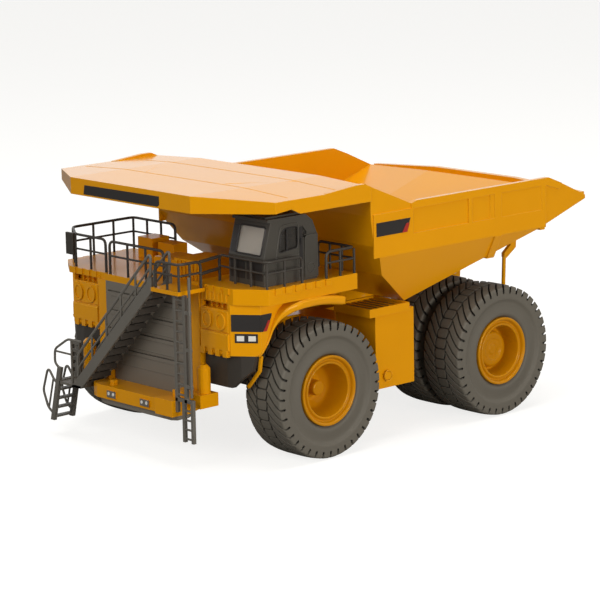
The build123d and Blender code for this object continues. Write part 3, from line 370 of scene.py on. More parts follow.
PLAIN_FINISHES = {  # colour, deep colour, corner's painted highlight, roughness, corner, its share, grain
    "black_plastic": ((0.050, 0.042, 0.034), (0.036, 0.031, 0.025), (0.13, 0.12, 0.10), 0.42, 0.12, 0.5, 0.2),
    "grille_grey": ((0.190, 0.168, 0.136), (0.165, 0.145, 0.117), (0.20, 0.175, 0.14), 0.5, 0.15, 0.35, 0.2),
    "tyre_rubber": ((0.134, 0.121, 0.097), (0.115, 0.103, 0.082), (0.17, 0.155, 0.125), 0.62, 0.1, 0.25, 0.3),
    "stair_grey": ((0.150, 0.137, 0.114), (0.122, 0.111, 0.093), (0.26, 0.245, 0.215), 0.45, 0.12, 0.5, 0.2),
    "sign_black": ((0.030, 0.027, 0.025), (0.024, 0.021, 0.020), (0.10, 0.095, 0.09), 0.35, 0.05, 0.3, 0.05),
    "sign_red": ((0.40, 0.030, 0.020), (0.34, 0.024, 0.016), (0.55, 0.08, 0.06), 0.38, 0.05, 0.3, 0.05),
    "lamp_white": ((0.78, 0.76, 0.70), (0.70, 0.68, 0.62), (0.9, 0.88, 0.84), 0.25, 0.05, 0.3, 0.05),
}
BLACK_PLASTIC, GRILLE_GREY, RUBBER, STAIR_GREY, SIGN_BLACK, SIGN_RED, LAMP_WHITE = (
    finish_material(name, *values) for name, values in PLAIN_FINISHES.items())
# painted shade: the rubber is darkened in the tyres' grooves, as if shadowed there
darkened_by("groove", RUBBER, 0.85)
STEEL = finish_material("pin_steel", (0.55, 0.54, 0.52), (0.45, 0.44, 0.42), (0.7, 0.69, 0.67),
                        0.32, corner=0.08, highlight_share=0.3, grain=0.1, metallic=1.0, ior=1.5)
print("finishes:", [m.name for m in bpy.data.materials])

# %% [markdown]
# ## Glass
#
# The cab's panes are clear plastic with a little haze, in three tints: the solid's own, a
# pale one for the windscreen and a smoky one for the doors.

# %% Pane material
def glass_material(name, colour, roughness, clear):
    """Clear plastic: a plain transmission shader with a faint uneven haze in its gloss."""
    material = bpy.data.materials.new(name)
    material.use_nodes = True
    tree = material.node_tree
    shader = tree.nodes["Principled BSDF"]
    uneven = tree.nodes.new("ShaderNodeGroup")
    uneven.node_tree = UNEVENNESS
    haze = math_node(tree, "MULTIPLY_ADD", uneven.outputs["Mottle"], 0.05)
    haze.node.inputs[2].default_value = roughness
    tree.links.new(haze, shader.inputs["Roughness"])
    set_inputs(shader, {"Base Color": (*colour, 1), "Transmission Weight": clear, "IOR": 1.3})
    return material


PANE = glass_material("cab_pane", (0.80, 0.77, 0.72), 0.06, 0.85)
PALE_PANE = glass_material("windscreen_pane", (0.62, 0.57, 0.49), 0.10, 0.45)
SMOKY_PANE = glass_material("side_pane", (0.16, 0.145, 0.125), 0.06, 0.8)
print("panes:", PANE.name, PALE_PANE.name, SMOKY_PANE.name)

# %% [markdown]
# ## Who wears what
#
# The record already says which of its material slots each solid uses, so the finishes are
# given out by slot and no list of pieces has to be kept here.

# %% Assign the finishes
FINISH_OF_SLOT = {
    "construction_yellow": ENAMEL, "yellow_plastic": MOULDED_YELLOW, "dark_plastic": BLACK_PLASTIC,
    "grille_grey": GRILLE_GREY, "tyre_rubber": RUBBER, "steel": STEEL, "window_glass": PANE,
}
slot_of_node = {n: m["slot"] for m in frame["record"]["materials"] for n in m.get("nodes", [])}
for name, thing in nodes.items():
    slot = slot_of_node.get(name) or thing.data.materials[0].name.split(".")[0]
    for index in range(len(thing.data.materials)):
        thing.data.materials[index] = FINISH_OF_SLOT[slot]
print("dressed", len(nodes), "solids")

# %% [markdown]
# ## Profiles with soft corners
#
# A turned or moulded part has no sharp corner in its section. It is quickest to draw the
# section with straight lines and let one function round each corner: it leaves the line a
# little before the corner, follows a quadratic Bezier curve and meets the next line.

# %% Round the corners of a section
RIM_COLUMNS = 96


def rounded(points, radius, steps=4):
    """Replaces each inner corner P by (1-t)^2 A + 2t(1-t) P + t^2 B, with A and B one radius away."""
    points = np.asarray(points, float)
    radius = np.broadcast_to(radius, len(points) - 2)[:, None]
    before, corner, after = points[:-2], points[1:-1], points[2:]
    t = np.linspace(0, 1, steps)[None, :, None]

    def towards(other):
        gap = other - corner
        length = np.linalg.norm(gap, axis=1, keepdims=True)
        return corner + gap / length * np.minimum(radius, 0.45 * length)

    start, end = towards(before)[:, None], towards(after)[:, None]
    curve = (1 - t) ** 2 * start + 2 * t * (1 - t) * corner[:, None] + t ** 2 * end
    return np.concatenate([points[:1], curve.reshape(-1, points.shape[1]), points[-1:]])


def turned(name, centre, side, section):
    """Turns a closed section (x outwards, radius), in millimetres, about an axle."""
    x, radius = np.asarray(section, float).T
    angle = np.linspace(0, 2 * pi, RIM_COLUMNS, endpoint=False) * side
    points = np.stack(np.broadcast_arrays(
        centre[0] + side * x[:, None] * MM,
        centre[1] + radius[:, None] * MM * np.cos(angle),
        centre[2] + radius[:, None] * MM * np.sin(angle)), axis=-1)
    return mesh_object(name, points, grid_faces(len(x), RIM_COLUMNS, True, True))


# %% [markdown]
# ## Tyres
#
# A haul truck's tyre has a plain sidewall and a tread of blocks: slanting lugs on both
# shoulders and a row of small blocks between two wavy grooves. On a plain grid the slanting
# grooves would come out as stairs. Here the grid itself is sheared: each row of points is
# turned by the slant of the lugs at that place, so every groove follows a grid line, and its
# two edges and its floor are rows of points of their own.
#
# The section has formulas too: a flat crown, a quarter circle for the shoulder, and a
# sidewall that steps in to a shallow dish before it meets the rim.

# %% Tyre surface
LUGS = 40
GROOVE_SHARE, GROOVE_DEPTH = 0.27, 1.0  # width as a share of a lug's step, depth at the shoulder
MIDDLE_SHARE, MIDDLE_DEPTH = 0.55, 0.45  # the middle row's grooves: narrower and shallower
LUG_LEAD, LUG_CURVE = 1.75, 1.18
RING_X, RING_DEPTH, RING_WAVE = 1.65, 0.75, 0.17
RING_FLOOR, RING_EDGE = 0.12, 0.25  # half widths of a ring groove, at its floor and its top
CROWN_HALF, CROWN_DROP, SHOULDER = 5.2, 0.25, 0.55
TYRE_HALF = 5.9
BEAD = 8.38


def smoothstep(value):
    value = np.clip(value, 0, 1)
    return value * value * (3 - 2 * value)


def tyre_section():
    """Half section from the middle of the tread to the bead: x, radius and the tread's share."""
    radius = TYRE_RADIUS / MM
    ring_rows = RING_X + np.array([-RING_EDGE, -RING_FLOOR, RING_FLOOR, RING_EDGE])
    crown_x = np.array([0, 0.7, *ring_rows, 2.7, 3.6, 4.5, CROWN_HALF])
    crown_r = radius - CROWN_DROP * (crown_x / CROWN_HALF) ** 4
    arc = np.radians([68, 45, 22, 0])
    arc_x = TYRE_HALF - SHOULDER + SHOULDER * np.cos(arc)
    arc_r = radius - CROWN_DROP - SHOULDER + SHOULDER * np.sin(arc)
    wall_r = np.concatenate([[14.95, 14.6], np.linspace(14.2, BEAD, 22)])
    wall_x = TYRE_HALF - 0.6 * smoothstep((12.9 - wall_r) / 0.9) + 0.25 * smoothstep((11.6 - wall_r) / 2.2)
    wall_x = wall_x - 0.8 * np.clip((BEAD + 0.9 - wall_r) / 0.9, 0, 1) ** 2
    x = np.concatenate([crown_x, arc_x, wall_x])
    r = np.concatenate([crown_r, arc_r, wall_r])
    grooved = np.concatenate([np.ones(len(crown_x) + len(arc)), 1 - smoothstep((15.1 - wall_r) / 0.5)])
    return x, r, grooved


def tyre_points():
    """Grid (section, round the tyre, 3), in millimetres about the tyre's middle."""
    x, r, grooved = tyre_section()
    x = np.concatenate([x[::-1], -x[1:]])
    r = np.concatenate([r[::-1], r[1:]])
    grooved = np.concatenate([grooved[::-1], grooved[1:]])
    out = np.abs(x)
    in_shoulder = out > RING_X
    cut = np.array([0.0, 0.2, 0.75, 1.0]) * GROOVE_SHARE
    block = np.linspace(GROOVE_SHARE, 1, 5)[1:-1]
    share = np.concatenate([cut, block])
    floor_share = np.array([0, 1, 1, 0, 0, 0, 0])
    step = (np.arange(LUGS)[:, None] + share).ravel() / LUGS
    is_floor = np.tile(floor_share, LUGS)
    narrow = np.where(in_shoulder, 1.0, MIDDLE_SHARE)[:, None]
    local = step * LUGS % 1
    groove = GROOVE_SHARE * narrow
    on_block = groove + (local - GROOVE_SHARE) * (1 - groove) / (1 - GROOVE_SHARE)
    local = np.where(local < GROOVE_SHARE, local * narrow, on_block)
    along = np.clip((out - RING_X) / (TYRE_HALF - RING_X), 0, 1)
    lead = np.sign(x) * LUG_LEAD * (1 - (1 - along) ** LUG_CURVE)
    turn = (np.floor(step * LUGS + 1e-6) + local + lead[:, None]) * 2 * pi / LUGS
    lug_cut = np.where(in_shoulder, GROOVE_DEPTH * grooved, MIDDLE_DEPTH)[:, None] * is_floor
    ring = np.clip(1 - (np.abs(out - RING_X) - RING_FLOOR) / (RING_EDGE - RING_FLOOR), 0, 1)
    cut_depth = np.maximum(lug_cut, RING_DEPTH * ring[:, None])
    radius = r[:, None] - cut_depth
    wave = np.abs((local + 0.5) % 1 - 0.5) * 4 - 1
    near_ring = np.clip(1.6 - np.abs(out - RING_X) / 0.6, 0, 1)
    across = x[:, None] + np.sign(x)[:, None] * RING_WAVE * wave * near_ring[:, None]
    grid = np.stack([across, radius * np.cos(turn), radius * np.sin(turn)], axis=-1)
    return grid, np.clip(cut_depth / RING_DEPTH, 0, 1)


TYRE_GRID, GROOVE_SHADE_MASK = tyre_points()
TYRE_ENDS = {"front": ("",), "rear": ("_outer", "_inner")}
WHEELS = [(axle, hand) for axle in TYRE_ENDS for hand in ("left", "right")]
for axle, hand in WHEELS:
    for end in TYRE_ENDS[axle]:
        node = "tyre_%s_%s%s" % (axle, hand, end)
        points = TYRE_GRID * MM + middle(node)
        tyre = mesh_object("lugged_" + node, points, grid_faces(*TYRE_GRID.shape[:2], True, True))
        tyre.data.set_sharp_from_angle(angle=radians(35))
        # the groove depth as a share, used to paint shade into the grooves
        groove = tyre.data.attributes.new("groove", "FLOAT", "POINT")
        groove.data.foreach_set("value", GROOVE_SHADE_MASK.ravel().astype(np.float32))
        dress(tyre, "%s_%s_wheel" % (axle, hand), RUBBER)
        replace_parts(tyre, node)

# %% [markdown]
# ## Rims
#
# Both rims are turned: an outer lip, a narrow channel, a second thin lip and a deep bowl. The
# front bowl is empty but for a small cap on the spindle; the rear one is filled by the wide
# hub of the final drive. Turning a section is the natural way to make them.

# %% Rim sections
RIM_OUTER = 8.29
STUB_HOLE, STUB_END = 1.25, 1.2
lips = [  # this and both faces: (x outwards, radius)
    (4.55, 6.15), (5.15, 6.25), (5.15, 6.75), (4.7, 6.95), (4.7, 7.35), (5.45, 7.55), (5.7, 7.9),
    (5.6, RIM_OUTER),
]
front_face = [(1.9, 0.0), (1.9, 1.5), (1.6, 1.75), (-1.4, 1.9), (-1.9, 3.2), (-0.4, 5.0), (2.6, 5.75)]
rear_face = [(2.6, 0.0), (2.6, 1.2), (2.3, 1.4), (2.3, 2.5), (2.6, 2.7), (2.6, 3.8), (2.2, 4.4),
             (0.3, 4.5), (0.2, 5.5), (2.0, 5.8)]
FACES = {"front": (front_face, -5.0), "rear": (rear_face, -19.5)}  # with the x of the back
for axle, hand in WHEELS:
    node = "rim_%s_%s" % (axle, hand)
    face, back_x = FACES[axle]
    section = face + lips + [(back_x, RIM_OUTER), (back_x, RIM_OUTER - 1.0), (back_x + 1.8, STUB_HOLE),
                             (STUB_END, STUB_HOLE), (STUB_END, 0.0)]
    tyre_centre = middle("tyre_%s_%s%s" % (axle, hand, TYRE_ENDS[axle][0]))
    side = np.sign(tyre_centre[0])
    corner = np.where(np.arange(len(section) - 2) < len(face) - 1, 0.6, 0.22)
    rim = turned("turned_" + node, tyre_centre, side, rounded(section, corner))
    rim.data.set_sharp_from_angle(angle=radians(50))
    # painted shade: the darker rim enamel stands in for the shade in the bowls
    dress(rim, "%s_%s_wheel" % (axle, hand), RIM_SHADED_ENAMEL)
    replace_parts(rim, node)

# %% [markdown]
# ## Bars, bricks and plates
#
# Railings, ladders and signs are all made of three things: a round bar that follows a path, a
# plain brick and a flat plate with any outline. Each helper gives points in millimetres and a
# list of faces; a piece is many of them joined.

# %% Bars, bricks and plates
SKEW = np.array([0.42, 0.58, 0.70])


def bar(path, radius=0.3, bend=1.3, sides=8):
    """Round bar P(s) + r (cos a N(s) + sin a B(s)); N is square to the path and to a skew line."""
    path = np.asarray(path, float)
    if len(path) > 2:
        path = rounded(path, bend, 5)
    along = np.gradient(path, axis=0)
    along /= np.linalg.norm(along, axis=1, keepdims=True)
    normal = np.cross(along, SKEW)
    normal /= np.linalg.norm(normal, axis=1, keepdims=True)
    other = np.cross(normal, along)
    angle = -np.linspace(0, 2 * pi, sides, endpoint=False)[None, :, None]
    skin = path[:, None] + radius * (np.cos(angle) * normal[:, None] + np.sin(angle) * other[:, None])
    ring = np.arange(sides)
    faces = list(grid_faces(len(path), sides, close_columns=True))
    return skin.reshape(-1, 3), faces + [ring[::-1], ring + (len(path) - 1) * sides]


def brick(x, y, z):
    """Box from three (low, high) pairs; corner number = x bit + 2 y bit + 4 z bit."""
    bits = (np.arange(8)[:, None] >> np.arange(3)) & 1
    low, high = np.sort(np.array([x, y, z], float), axis=1).T
    corners = ((0, 2, 3, 1), (4, 5, 7, 6), (0, 1, 5, 4), (2, 6, 7, 3), (0, 4, 6, 2), (1, 3, 7, 5))
    return np.where(bits, high, low), [np.array(c) for c in corners]


def plate(corners, depth):
    """Flat piece: a planar outline of (x, y, z) corners carried along the vector depth."""
    corners, depth = np.asarray(corners, float), np.asarray(depth, float)
    if np.cross(corners, np.roll(corners, -1, axis=0)).sum(axis=0) @ depth < 0:
        corners = corners[::-1]
    i = np.arange(len(corners))
    j = np.roll(i, -1)
    sides = np.stack([i, j, j + len(i), i + len(i)], axis=1)
    return np.concatenate([corners, corners + depth]), [i[::-1], i + len(i), *sides]


def joined(name, parts, body, material, smooth=True):
    """One object from many parts; the faces of each part are numbered on from the part before."""
    starts = np.cumsum([0] + [len(points) for points, _ in parts])
    points = np.concatenate([points for points, _ in parts]) * MM + place(0, 0, 0)
    faces = [face + start for (_, faces), start in zip(parts, starts) for face in faces]
    thing = mesh_object(name, points, faces, smooth)
    if smooth:
        thing.data.set_sharp_from_angle(angle=radians(40))
    return dress(thing, body, material)


# %% [markdown]
# ## Railings
#
# The solids' railings are square bars. On the model they are round, each top rail bends down
# into its end posts, and the middle rail follows it at half height.

# %% Railings
TOP_BAR, MIDDLE_BAR, POST, SLIM_POST = 0.34, 0.26, 0.3, 0.28  # radii
BAR_DROP = 0.3  # from a railing's full height down to the middle line of its top bar


def railing(corners, base, height, spacing):
    """Top bar with its two end posts, a middle bar and upright posts between them."""
    top_run = [(x, y, base + height - BAR_DROP) for x, y in corners]
    parts = [bar([(*corners[0], base), *top_run, (*corners[-1], base)], TOP_BAR, 1.5)]
    parts.append(bar([(x, y, base + height / 2 + BAR_DROP) for x, y in corners], MIDDLE_BAR, 1.0))
    for (xa, ya), (xb, yb) in zip(corners, corners[1:]):
        count = max(1, round(np.hypot(xb - xa, yb - ya) / spacing))
        share = np.arange(1, count + 1) / count
        spots = np.column_stack([xa + share * (xb - xa), ya + share * (yb - ya)])
        parts += [bar([(x, y, base), (x, y, base + height - BAR_DROP)], POST) for x, y in spots[:-1]]
        if (xb, yb) != corners[-1]:
            parts.append(bar([(xb, yb, base), (xb, yb, base + height - 2 * BAR_DROP)], POST))
    return parts


DECK_EDGE, CAB_DECK_Z, FRONT_DECK_Z, LANDING_RAIL_Z = 36.2, 42.1, 40.0, 41.4
RAILINGS = {  # node: runs of (corners, base, height, spacing)
    "cab_railing": [
        ([(20.0, -17.2), (DECK_EDGE, -17.2), (DECK_EDGE, -6.5)], CAB_DECK_Z, 6.4, 5.4),
        ([(DECK_EDGE, 1.0), (DECK_EDGE, 9.8), (24.0, 9.8)], CAB_DECK_Z, 6.4, 4.6),
    ],
    "right_railing": [
        ([(-16.4, -21.4), (-28.0, -21.4), (-DECK_EDGE, -15.8), (-DECK_EDGE, 3.1), (-20.0, 3.1)],
         FRONT_DECK_Z, 8.2, 5.8),
    ],
    "centre_railing": [
        ([(-14.0, -22.1), (6.0, -22.1)], FRONT_DECK_Z, 8.2, 6.6),
        ([(12.4, -29.9), (20.6, -29.9), (20.6, -23.4)], LANDING_RAIL_Z, 6.4, 4.2),
    ],
}
LINK_Z = (44.6, 47.4)
LINKS = {"centre_railing": [bar([(20.6, -23.6, z), (20.0, -17.0, z + 0.4)], 0.4) for z in LINK_Z]}
for node, runs in RAILINGS.items():
    parts = sum([railing(*run) for run in runs], LINKS.get(node, []))
    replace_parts(joined("round_" + node, parts, "chassis", BLACK_PLASTIC), node)

# %% [markdown]
# ## Stairway
#
# The stairway climbs at nearly 45 degrees between two deep plates. One number, the slope,
# places the treads, the handrails and the feet of the posts.

# %% Stairway
STAIR_SLOPE, STAIR_FOOT, STAIR_TOP_X = 0.985, (-12.4, 16.8), 11.4
LANDING_X, LANDING_LOW, LANDING_TOP = -24.0, 13.2, 13.8
STRINGER_DEPTH, STRINGER_HALF = 3.5, 0.4
STAIR_SIDES = (-30.2, -24.6)
HAND_LIFT, KNEE_LIFT = 9.2, 6.0


def stair_edge(x, lift=0.0):
    """Height of the stair plates' lower edge at x, plus the lift."""
    return STAIR_FOOT[1] + (x - STAIR_FOOT[0]) * STAIR_SLOPE + lift


def climbing(y, *steps):
    """Points on the side y of the stairway, each from x and its lift over the plates' edge."""
    return [(x, y, stair_edge(x, lift)) for x, lift in steps]


foot_x = STAIR_FOOT[0] - (STAIR_FOOT[1] - LANDING_LOW) / STAIR_SLOPE
toe_x = foot_x - 3.4
low_x, high_x = foot_x - 1.2, STAIR_TOP_X - 0.3
stair = [brick((LANDING_X, foot_x), (STAIR_SIDES[0] - STRINGER_HALF, STAIR_SIDES[1] + STRINGER_HALF),
               (LANDING_LOW, LANDING_TOP))]
for y in STAIR_SIDES:
    front = y - STRINGER_HALF
    stair.append(plate([
        (foot_x, front, LANDING_LOW), *climbing(front, (STAIR_TOP_X, 0.0), (STAIR_TOP_X, STRINGER_DEPTH)),
        (toe_x, front, LANDING_LOW + 0.2), (toe_x, front, LANDING_LOW),
    ], (0, 2 * STRINGER_HALF, 0)))
    stair.append(bar(climbing(y, (low_x, 2.2), (low_x, HAND_LIFT), (high_x, HAND_LIFT), (high_x, 4.6),
                              (high_x - 1.4, 3.0)), TOP_BAR, 1.3))
    stair.append(bar(climbing(y, (low_x, KNEE_LIFT), (high_x, KNEE_LIFT)), MIDDLE_BAR))
    for x in low_x + (high_x - low_x) * np.arange(1, 5) / 5:
        stair.append(bar(climbing(y, (x, STRINGER_DEPTH - 0.6), (x, HAND_LIFT)), SLIM_POST))
# painted shade: the treads and the risers under them are darker than the grey stairway, for the shade that
# falls on them; the risers are dark bricks put where there is shade
TREADS, TREAD_HALF, RISER = 12, 0.16, 1.5
steps = []
for x in foot_x + (np.arange(TREADS) + 0.5) * (STAIR_TOP_X - foot_x) / TREADS:
    z = stair_edge(x, STRINGER_DEPTH * 0.3)
    steps.append(brick((x - 1.15, x + 0.75), STAIR_SIDES, (z - TREAD_HALF, z + TREAD_HALF)))
    steps.append(brick((x + 0.6, x + 0.75), STAIR_SIDES, (z - RISER, z)))
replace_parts(joined("plated_stairway", stair, "chassis", STAIR_GREY), "stairway")
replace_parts(joined("shaded_stair_treads", steps, "chassis", BLACK_PLASTIC), "stairway")

# %% [markdown]
# ## Ladders
#
# The front ladder has a long upper part and a short lower one, set a little to the side, with
# a grab bar on three brackets next to it. The access ladder leans under the landing between
# two hoops. On its far side stands a plate with slots, built from its uprights and webs.

# %% Ladders
LADDER_Y, LADDER_LOW, LADDER_TOP = -28.9, 15.6, 40.5
LADDER_X, LOWER_LADDER_X, GRAB_X = (17.9, 21.2), (20.2, 23.2), 22.9
RUNGS, LOWER_RUNGS = 17.2 + 2.45 * np.arange(10), 7.1 + 2.2 * np.arange(4)


def on_ladder(x, z, half=0.4):
    """Brick in the front ladder's plane, from (low, high) pairs across and up."""
    return brick(x, (LADDER_Y - half, LADDER_Y + half), z)


ladder = [on_ladder((x - 0.45, x + 0.45), (LADDER_LOW, LADDER_TOP)) for x in LADDER_X]
ladder += [bar([(x, LADDER_Y, z) for x in LADDER_X], MIDDLE_BAR) for z in RUNGS]
ladder += [on_ladder((x - 0.4, x + 0.4), (6.3, LADDER_LOW)) for x in LOWER_LADDER_X]
ladder += [bar([(x, LADDER_Y, z) for x in LOWER_LADDER_X], MIDDLE_BAR) for z in LOWER_RUNGS]
ladder.append(on_ladder((17.5, 23.6), (LADDER_LOW, LADDER_LOW + 0.8)))
ladder.append(on_ladder((17.5, 18.3), (13.0, LADDER_LOW)))
ladder.append(bar([(GRAB_X, LADDER_Y, z) for z in (17.0, 44.8)], 0.33))
ladder += [on_ladder((LADDER_X[1], GRAB_X + 0.3), (z, z + 0.8), 0.32) for z in (19.0, 27.6, 36.2)]
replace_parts(joined("round_front_ladder", ladder, "chassis", STAIR_GREY), "front_ladder")

ACCESS_FOOT, ACCESS_LEAN, ACCESS_RISE = (-27.6, 3.7), 0.25, 13.5
SIDE_HOOP = ((-24.9, 12.7), (-26.8, 13.6), (-28.6, 15.9), (-29.4, 15.7), (-31.3, 10.5), (-29.6, 6.5),
             (-26.9, 4.9))
HIGH_HOOP = ((-15.6, 24.6), (-20.9, 24.5), (-26.1, 21.4), (-26.3, 18.1), (-25.2, 17.2), (LANDING_X, 16.9))
SLOT_X, SLOT_LOW, SLOT_TOP, SLOT_STEP = (-26.1, -24.1), 15.0, 22.3, 1.9


def at_side(y, *xz):
    """Points (x, z) put on the side y of the ladder."""
    return [(x, y, z) for x, z in xz]


access = [brick((-25.6, LANDING_X), STAIR_SIDES, (LANDING_LOW, LANDING_TOP))]
for y in STAIR_SIDES:
    access.append(plate([
        (ACCESS_FOOT[0] + dx + dz * ACCESS_LEAN, y - 0.4, ACCESS_FOOT[1] + dz)
        for dx, dz in ((-0.7, 0), (0.7, 0), (0.7, ACCESS_RISE), (-0.7, ACCESS_RISE))
    ], (0, 0.8, 0)))
    access.append(bar(at_side(y, *SIDE_HOOP), 0.3, 0.9))
    access.append(bar(at_side(y, (-27.2, 13.8), (-29.3, 6.4)), MIDDLE_BAR))
for z in ACCESS_FOOT[1] + 0.9 + 2.3 * np.arange(5):
    x = ACCESS_FOOT[0] + (z - ACCESS_FOOT[1]) * ACCESS_LEAN
    access.append(brick((x - 0.8, x + 0.8), STAIR_SIDES, (z - 0.22, z + 0.22)))
near, far = STAIR_SIDES
access.append(bar(at_side(near, *HIGH_HOOP), 0.3, 1.0))
access.append(bar(at_side(near, (-26.1, 20.9), (-19.6, 20.9)), MIDDLE_BAR))
access.append(bar(at_side(near, (-19.6, LANDING_TOP), (-19.6, 24.6)), SLIM_POST))
far_wall = (far - 0.3, far + 0.3)
access += [brick(x, far_wall, (LANDING_TOP, SLOT_TOP)) for x in ((-26.8, SLOT_X[0]), (SLOT_X[1], -23.4))]
webs = [(LANDING_TOP, SLOT_LOW)]
webs += [(z + 1.0, z + SLOT_STEP) for z in SLOT_LOW + SLOT_STEP * np.arange(3)]
webs.append((21.7, SLOT_TOP))
access += [brick(SLOT_X, far_wall, web) for web in webs]
access.append(plate(at_side(far_wall[0], (-26.8, SLOT_TOP), (-26.1, 22.8), (-24.0, 22.8), (-23.4, SLOT_TOP)),
                    (0, 0.6, 0)))
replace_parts(joined("round_access_ladder", access, "chassis", STAIR_GREY), "access_ladder")

# %% [markdown]
# ## Fenders
#
# Each fender is a front wall with a lamp panel, a slanted corner that carries a sign and a side
# wall over the wheel. The arch's rim starts flush with the wall at its foot and flares out as
# it climbs, so it is swept as a section whose reach grows along the way.

# %% Fenders
NOSE_Y, NOSE_X, BEND_Y, SIDE_X = -22.0, 28.8, -17.6, 34.3
INNER_X, FOOT_Z, TOP_Z, WALL = 15.6, 26.5, 38.4, 1.2
RECESS_LOW, RECESS_BACK = 36.9, 2.6
LAMPS_X, LAMP_Z, LAMP_WIDE, LAMP_HIGH = (21.3, 26.0), 34.2, 1.5, 1.9
CORNER_IN = np.array([-0.625, 0.781, 0.0])  # into the fender, square to its slanted corner
ARCH = np.array([  # y, z, x of the rim's edge
    (-18.2, 26.6, 34.3), (-16.9, 27.7, 34.4), (-15.5, 29.8, 34.6), (-14.5, 32.3, 34.9),
    (-13.2, 34.5, 35.5), (-11.7, 36.1, 36.3), (-9.6, 37.2, 37.0), (-6.6, 37.7, 37.5),
    (-3.0, 37.8, 37.6), (0.6, 37.6, 37.6), (5.6, 36.8, 37.6),
])


def smooth_line(points, count):
    """Catmull-Rom curve through the points: each piece mixes four neighbours by cubic weights."""
    padded = np.concatenate([2 * points[:1] - points[1:2], points, 2 * points[-1:] - points[-2:-1]])
    t = np.linspace(0, len(points) - 1 - 1e-9, count)
    i, f = t.astype(int), (t % 1)[:, None]
    a, b, c, d = (padded[i + k] for k in range(4))
    return 0.5 * (2 * b + (c - a) * f + (2 * a - 5 * b + 4 * c - d) * f ** 2 + (3 * b - a - 3 * c + d) * f ** 3)


def arch_rim():
    """Flared rim: at each station a closed section of (out from the wall, away from the arch)."""
    line = smooth_line(ARCH, 42)
    y, z, edge = line.T
    slope = np.gradient(line[:, :2], axis=0)
    slope /= np.linalg.norm(slope, axis=1, keepdims=True)
    away = np.stack([-slope[:, 1], slope[:, 0]], axis=1)
    reach = edge - SIDE_X
    grown = 0.12 + 0.88 * smoothstep(reach / 2.6)
    section = [(-1.0, 0.0, 0.6), (0.0, 0.0, 0.8), (0.0, 0.5, 0.76), (0.0, 0.9, 0.55), (0.0, 1.0, 0.2),
               (0.0, 1.0, -0.7), (0.0, 0.92, -1.2), (0.0, 0.66, -1.55), (-1.0, 0.0, -1.7)]
    rows = [np.column_stack([SIDE_X + base + share * reach, y + lift * grown * away[:, 0],
                             z + lift * grown * away[:, 1]]) for base, share, lift in section]
    points = np.stack(rows, axis=1)
    ring = np.arange(len(section))
    last_ring = ring[::-1] + (len(points) - 1) * len(section)
    faces = list(grid_faces(*points.shape[:2], close_columns=True)[:, ::-1])
    return points.reshape(-1, 3), faces + [ring, last_ring]


def oval(x, y, z, wide, high, sides):
    """Points round an upright oval that faces forwards."""
    angle = np.linspace(0, 2 * pi, sides, endpoint=False)
    return np.column_stack([x + wide * np.cos(angle), np.full(sides, y), z + high * np.sin(angle)])


def disc(x, y, z, wide, high, depth, sides=28):
    """Oval plug facing forwards, as a plate with a round outline."""
    return plate(oval(x, y, z, wide, high, sides), (0, depth, 0))


def oval_ring(x, y, z, wide, high, share, depth):
    """Raised oval ring with a square section between the full size and a share of it."""
    rows = [(1, 0), (1, depth), (share, depth), (share, 0)]
    points = np.stack([oval(x, y + d, z, k * wide, k * high, 32) for k, d in rows])
    return points.reshape(-1, 3), list(grid_faces(*points.shape[:2], True, True)[:, ::-1])


def mirrored(part):
    """The same part on the other side, its faces turned to point outwards again."""
    points, faces = part
    return points * (-1, 1, 1), [face[::-1] for face in faces]


def on_nose(x, z, front, back):
    """Brick on the front wall, from (low, high) pairs across and up; front is negative."""
    return brick(x, (NOSE_Y + front, NOSE_Y + back), z)


def fender_parts(strip_top):
    """The left fender; strip_top is the upper end of the upright strip by the grille."""
    across, strip_x = (INNER_X, NOSE_X), (INNER_X, INNER_X + 2.9)
    hanger = ((33.4, FOOT_Z), (34.1, FOOT_Z), (33.5, 22.8), (29.4, 18.3), (28.9, 18.8), (32.8, 23.1))
    parts = [
        on_nose(across, (FOOT_Z, RECESS_LOW), 0, WALL),
        on_nose((INNER_X, 19.2), (RECESS_LOW, TOP_Z), 0, WALL),
        on_nose((28.0, NOSE_X), (RECESS_LOW, TOP_Z), 0, WALL),
        on_nose(across, (36.0, TOP_Z), 2.2, RECESS_BACK),
        on_nose(across, (36.4, RECESS_LOW), WALL, RECESS_BACK),
        plate([(NOSE_X, NOSE_Y, FOOT_Z), (33.6, -18.2, FOOT_Z), (SIDE_X, BEND_Y, 27.0),
               (SIDE_X, BEND_Y, TOP_Z), (NOSE_X, NOSE_Y, TOP_Z)], CORNER_IN * WALL),
        plate([(SIDE_X, BEND_Y, TOP_Z), (SIDE_X, BEND_Y, 27.0), *((SIDE_X, y, z) for y, z, _ in ARCH[1:]),
               (SIDE_X, ARCH[-1, 0], TOP_Z)], (-WALL, 0, 0)),
        arch_rim(),
        on_nose(strip_x, (FOOT_Z, strip_top), -0.35, 0),
        on_nose(strip_x, (17.0, FOOT_Z), -0.35, 0.9),
        plate([(x, -17.5, z) for x, z in hanger], (0, 0.6, 0)),
        on_nose((19.0, 28.2), (31.8, 36.6), -0.25, 0),
        on_nose((19.0, 28.4), (27.6, 31.2), -0.5, 0),
        on_nose((18.8, 28.4), (31.2, 31.55), -0.42, 0),
    ]
    parts += [on_nose((x, x + 0.5), (RECESS_LOW, TOP_Z), 1.4, 2.4) for x in 20.6 + 1.9 * np.arange(4)]
    parts += [on_nose((x - 0.7, x + 0.7), (26.0, 27.6), -0.5, 0.6) for x in 19.4 + 2.6 * np.arange(4)]
    parts += [disc(x, NOSE_Y - 0.45, LAMP_Z, LAMP_WIDE, LAMP_HIGH, 0.4) for x in LAMPS_X]
    parts += [oval_ring(x, NOSE_Y - 0.45, LAMP_Z, LAMP_WIDE * 1.06, LAMP_HIGH * 1.06, 0.78, -0.25)
              for x in LAMPS_X]
    return parts


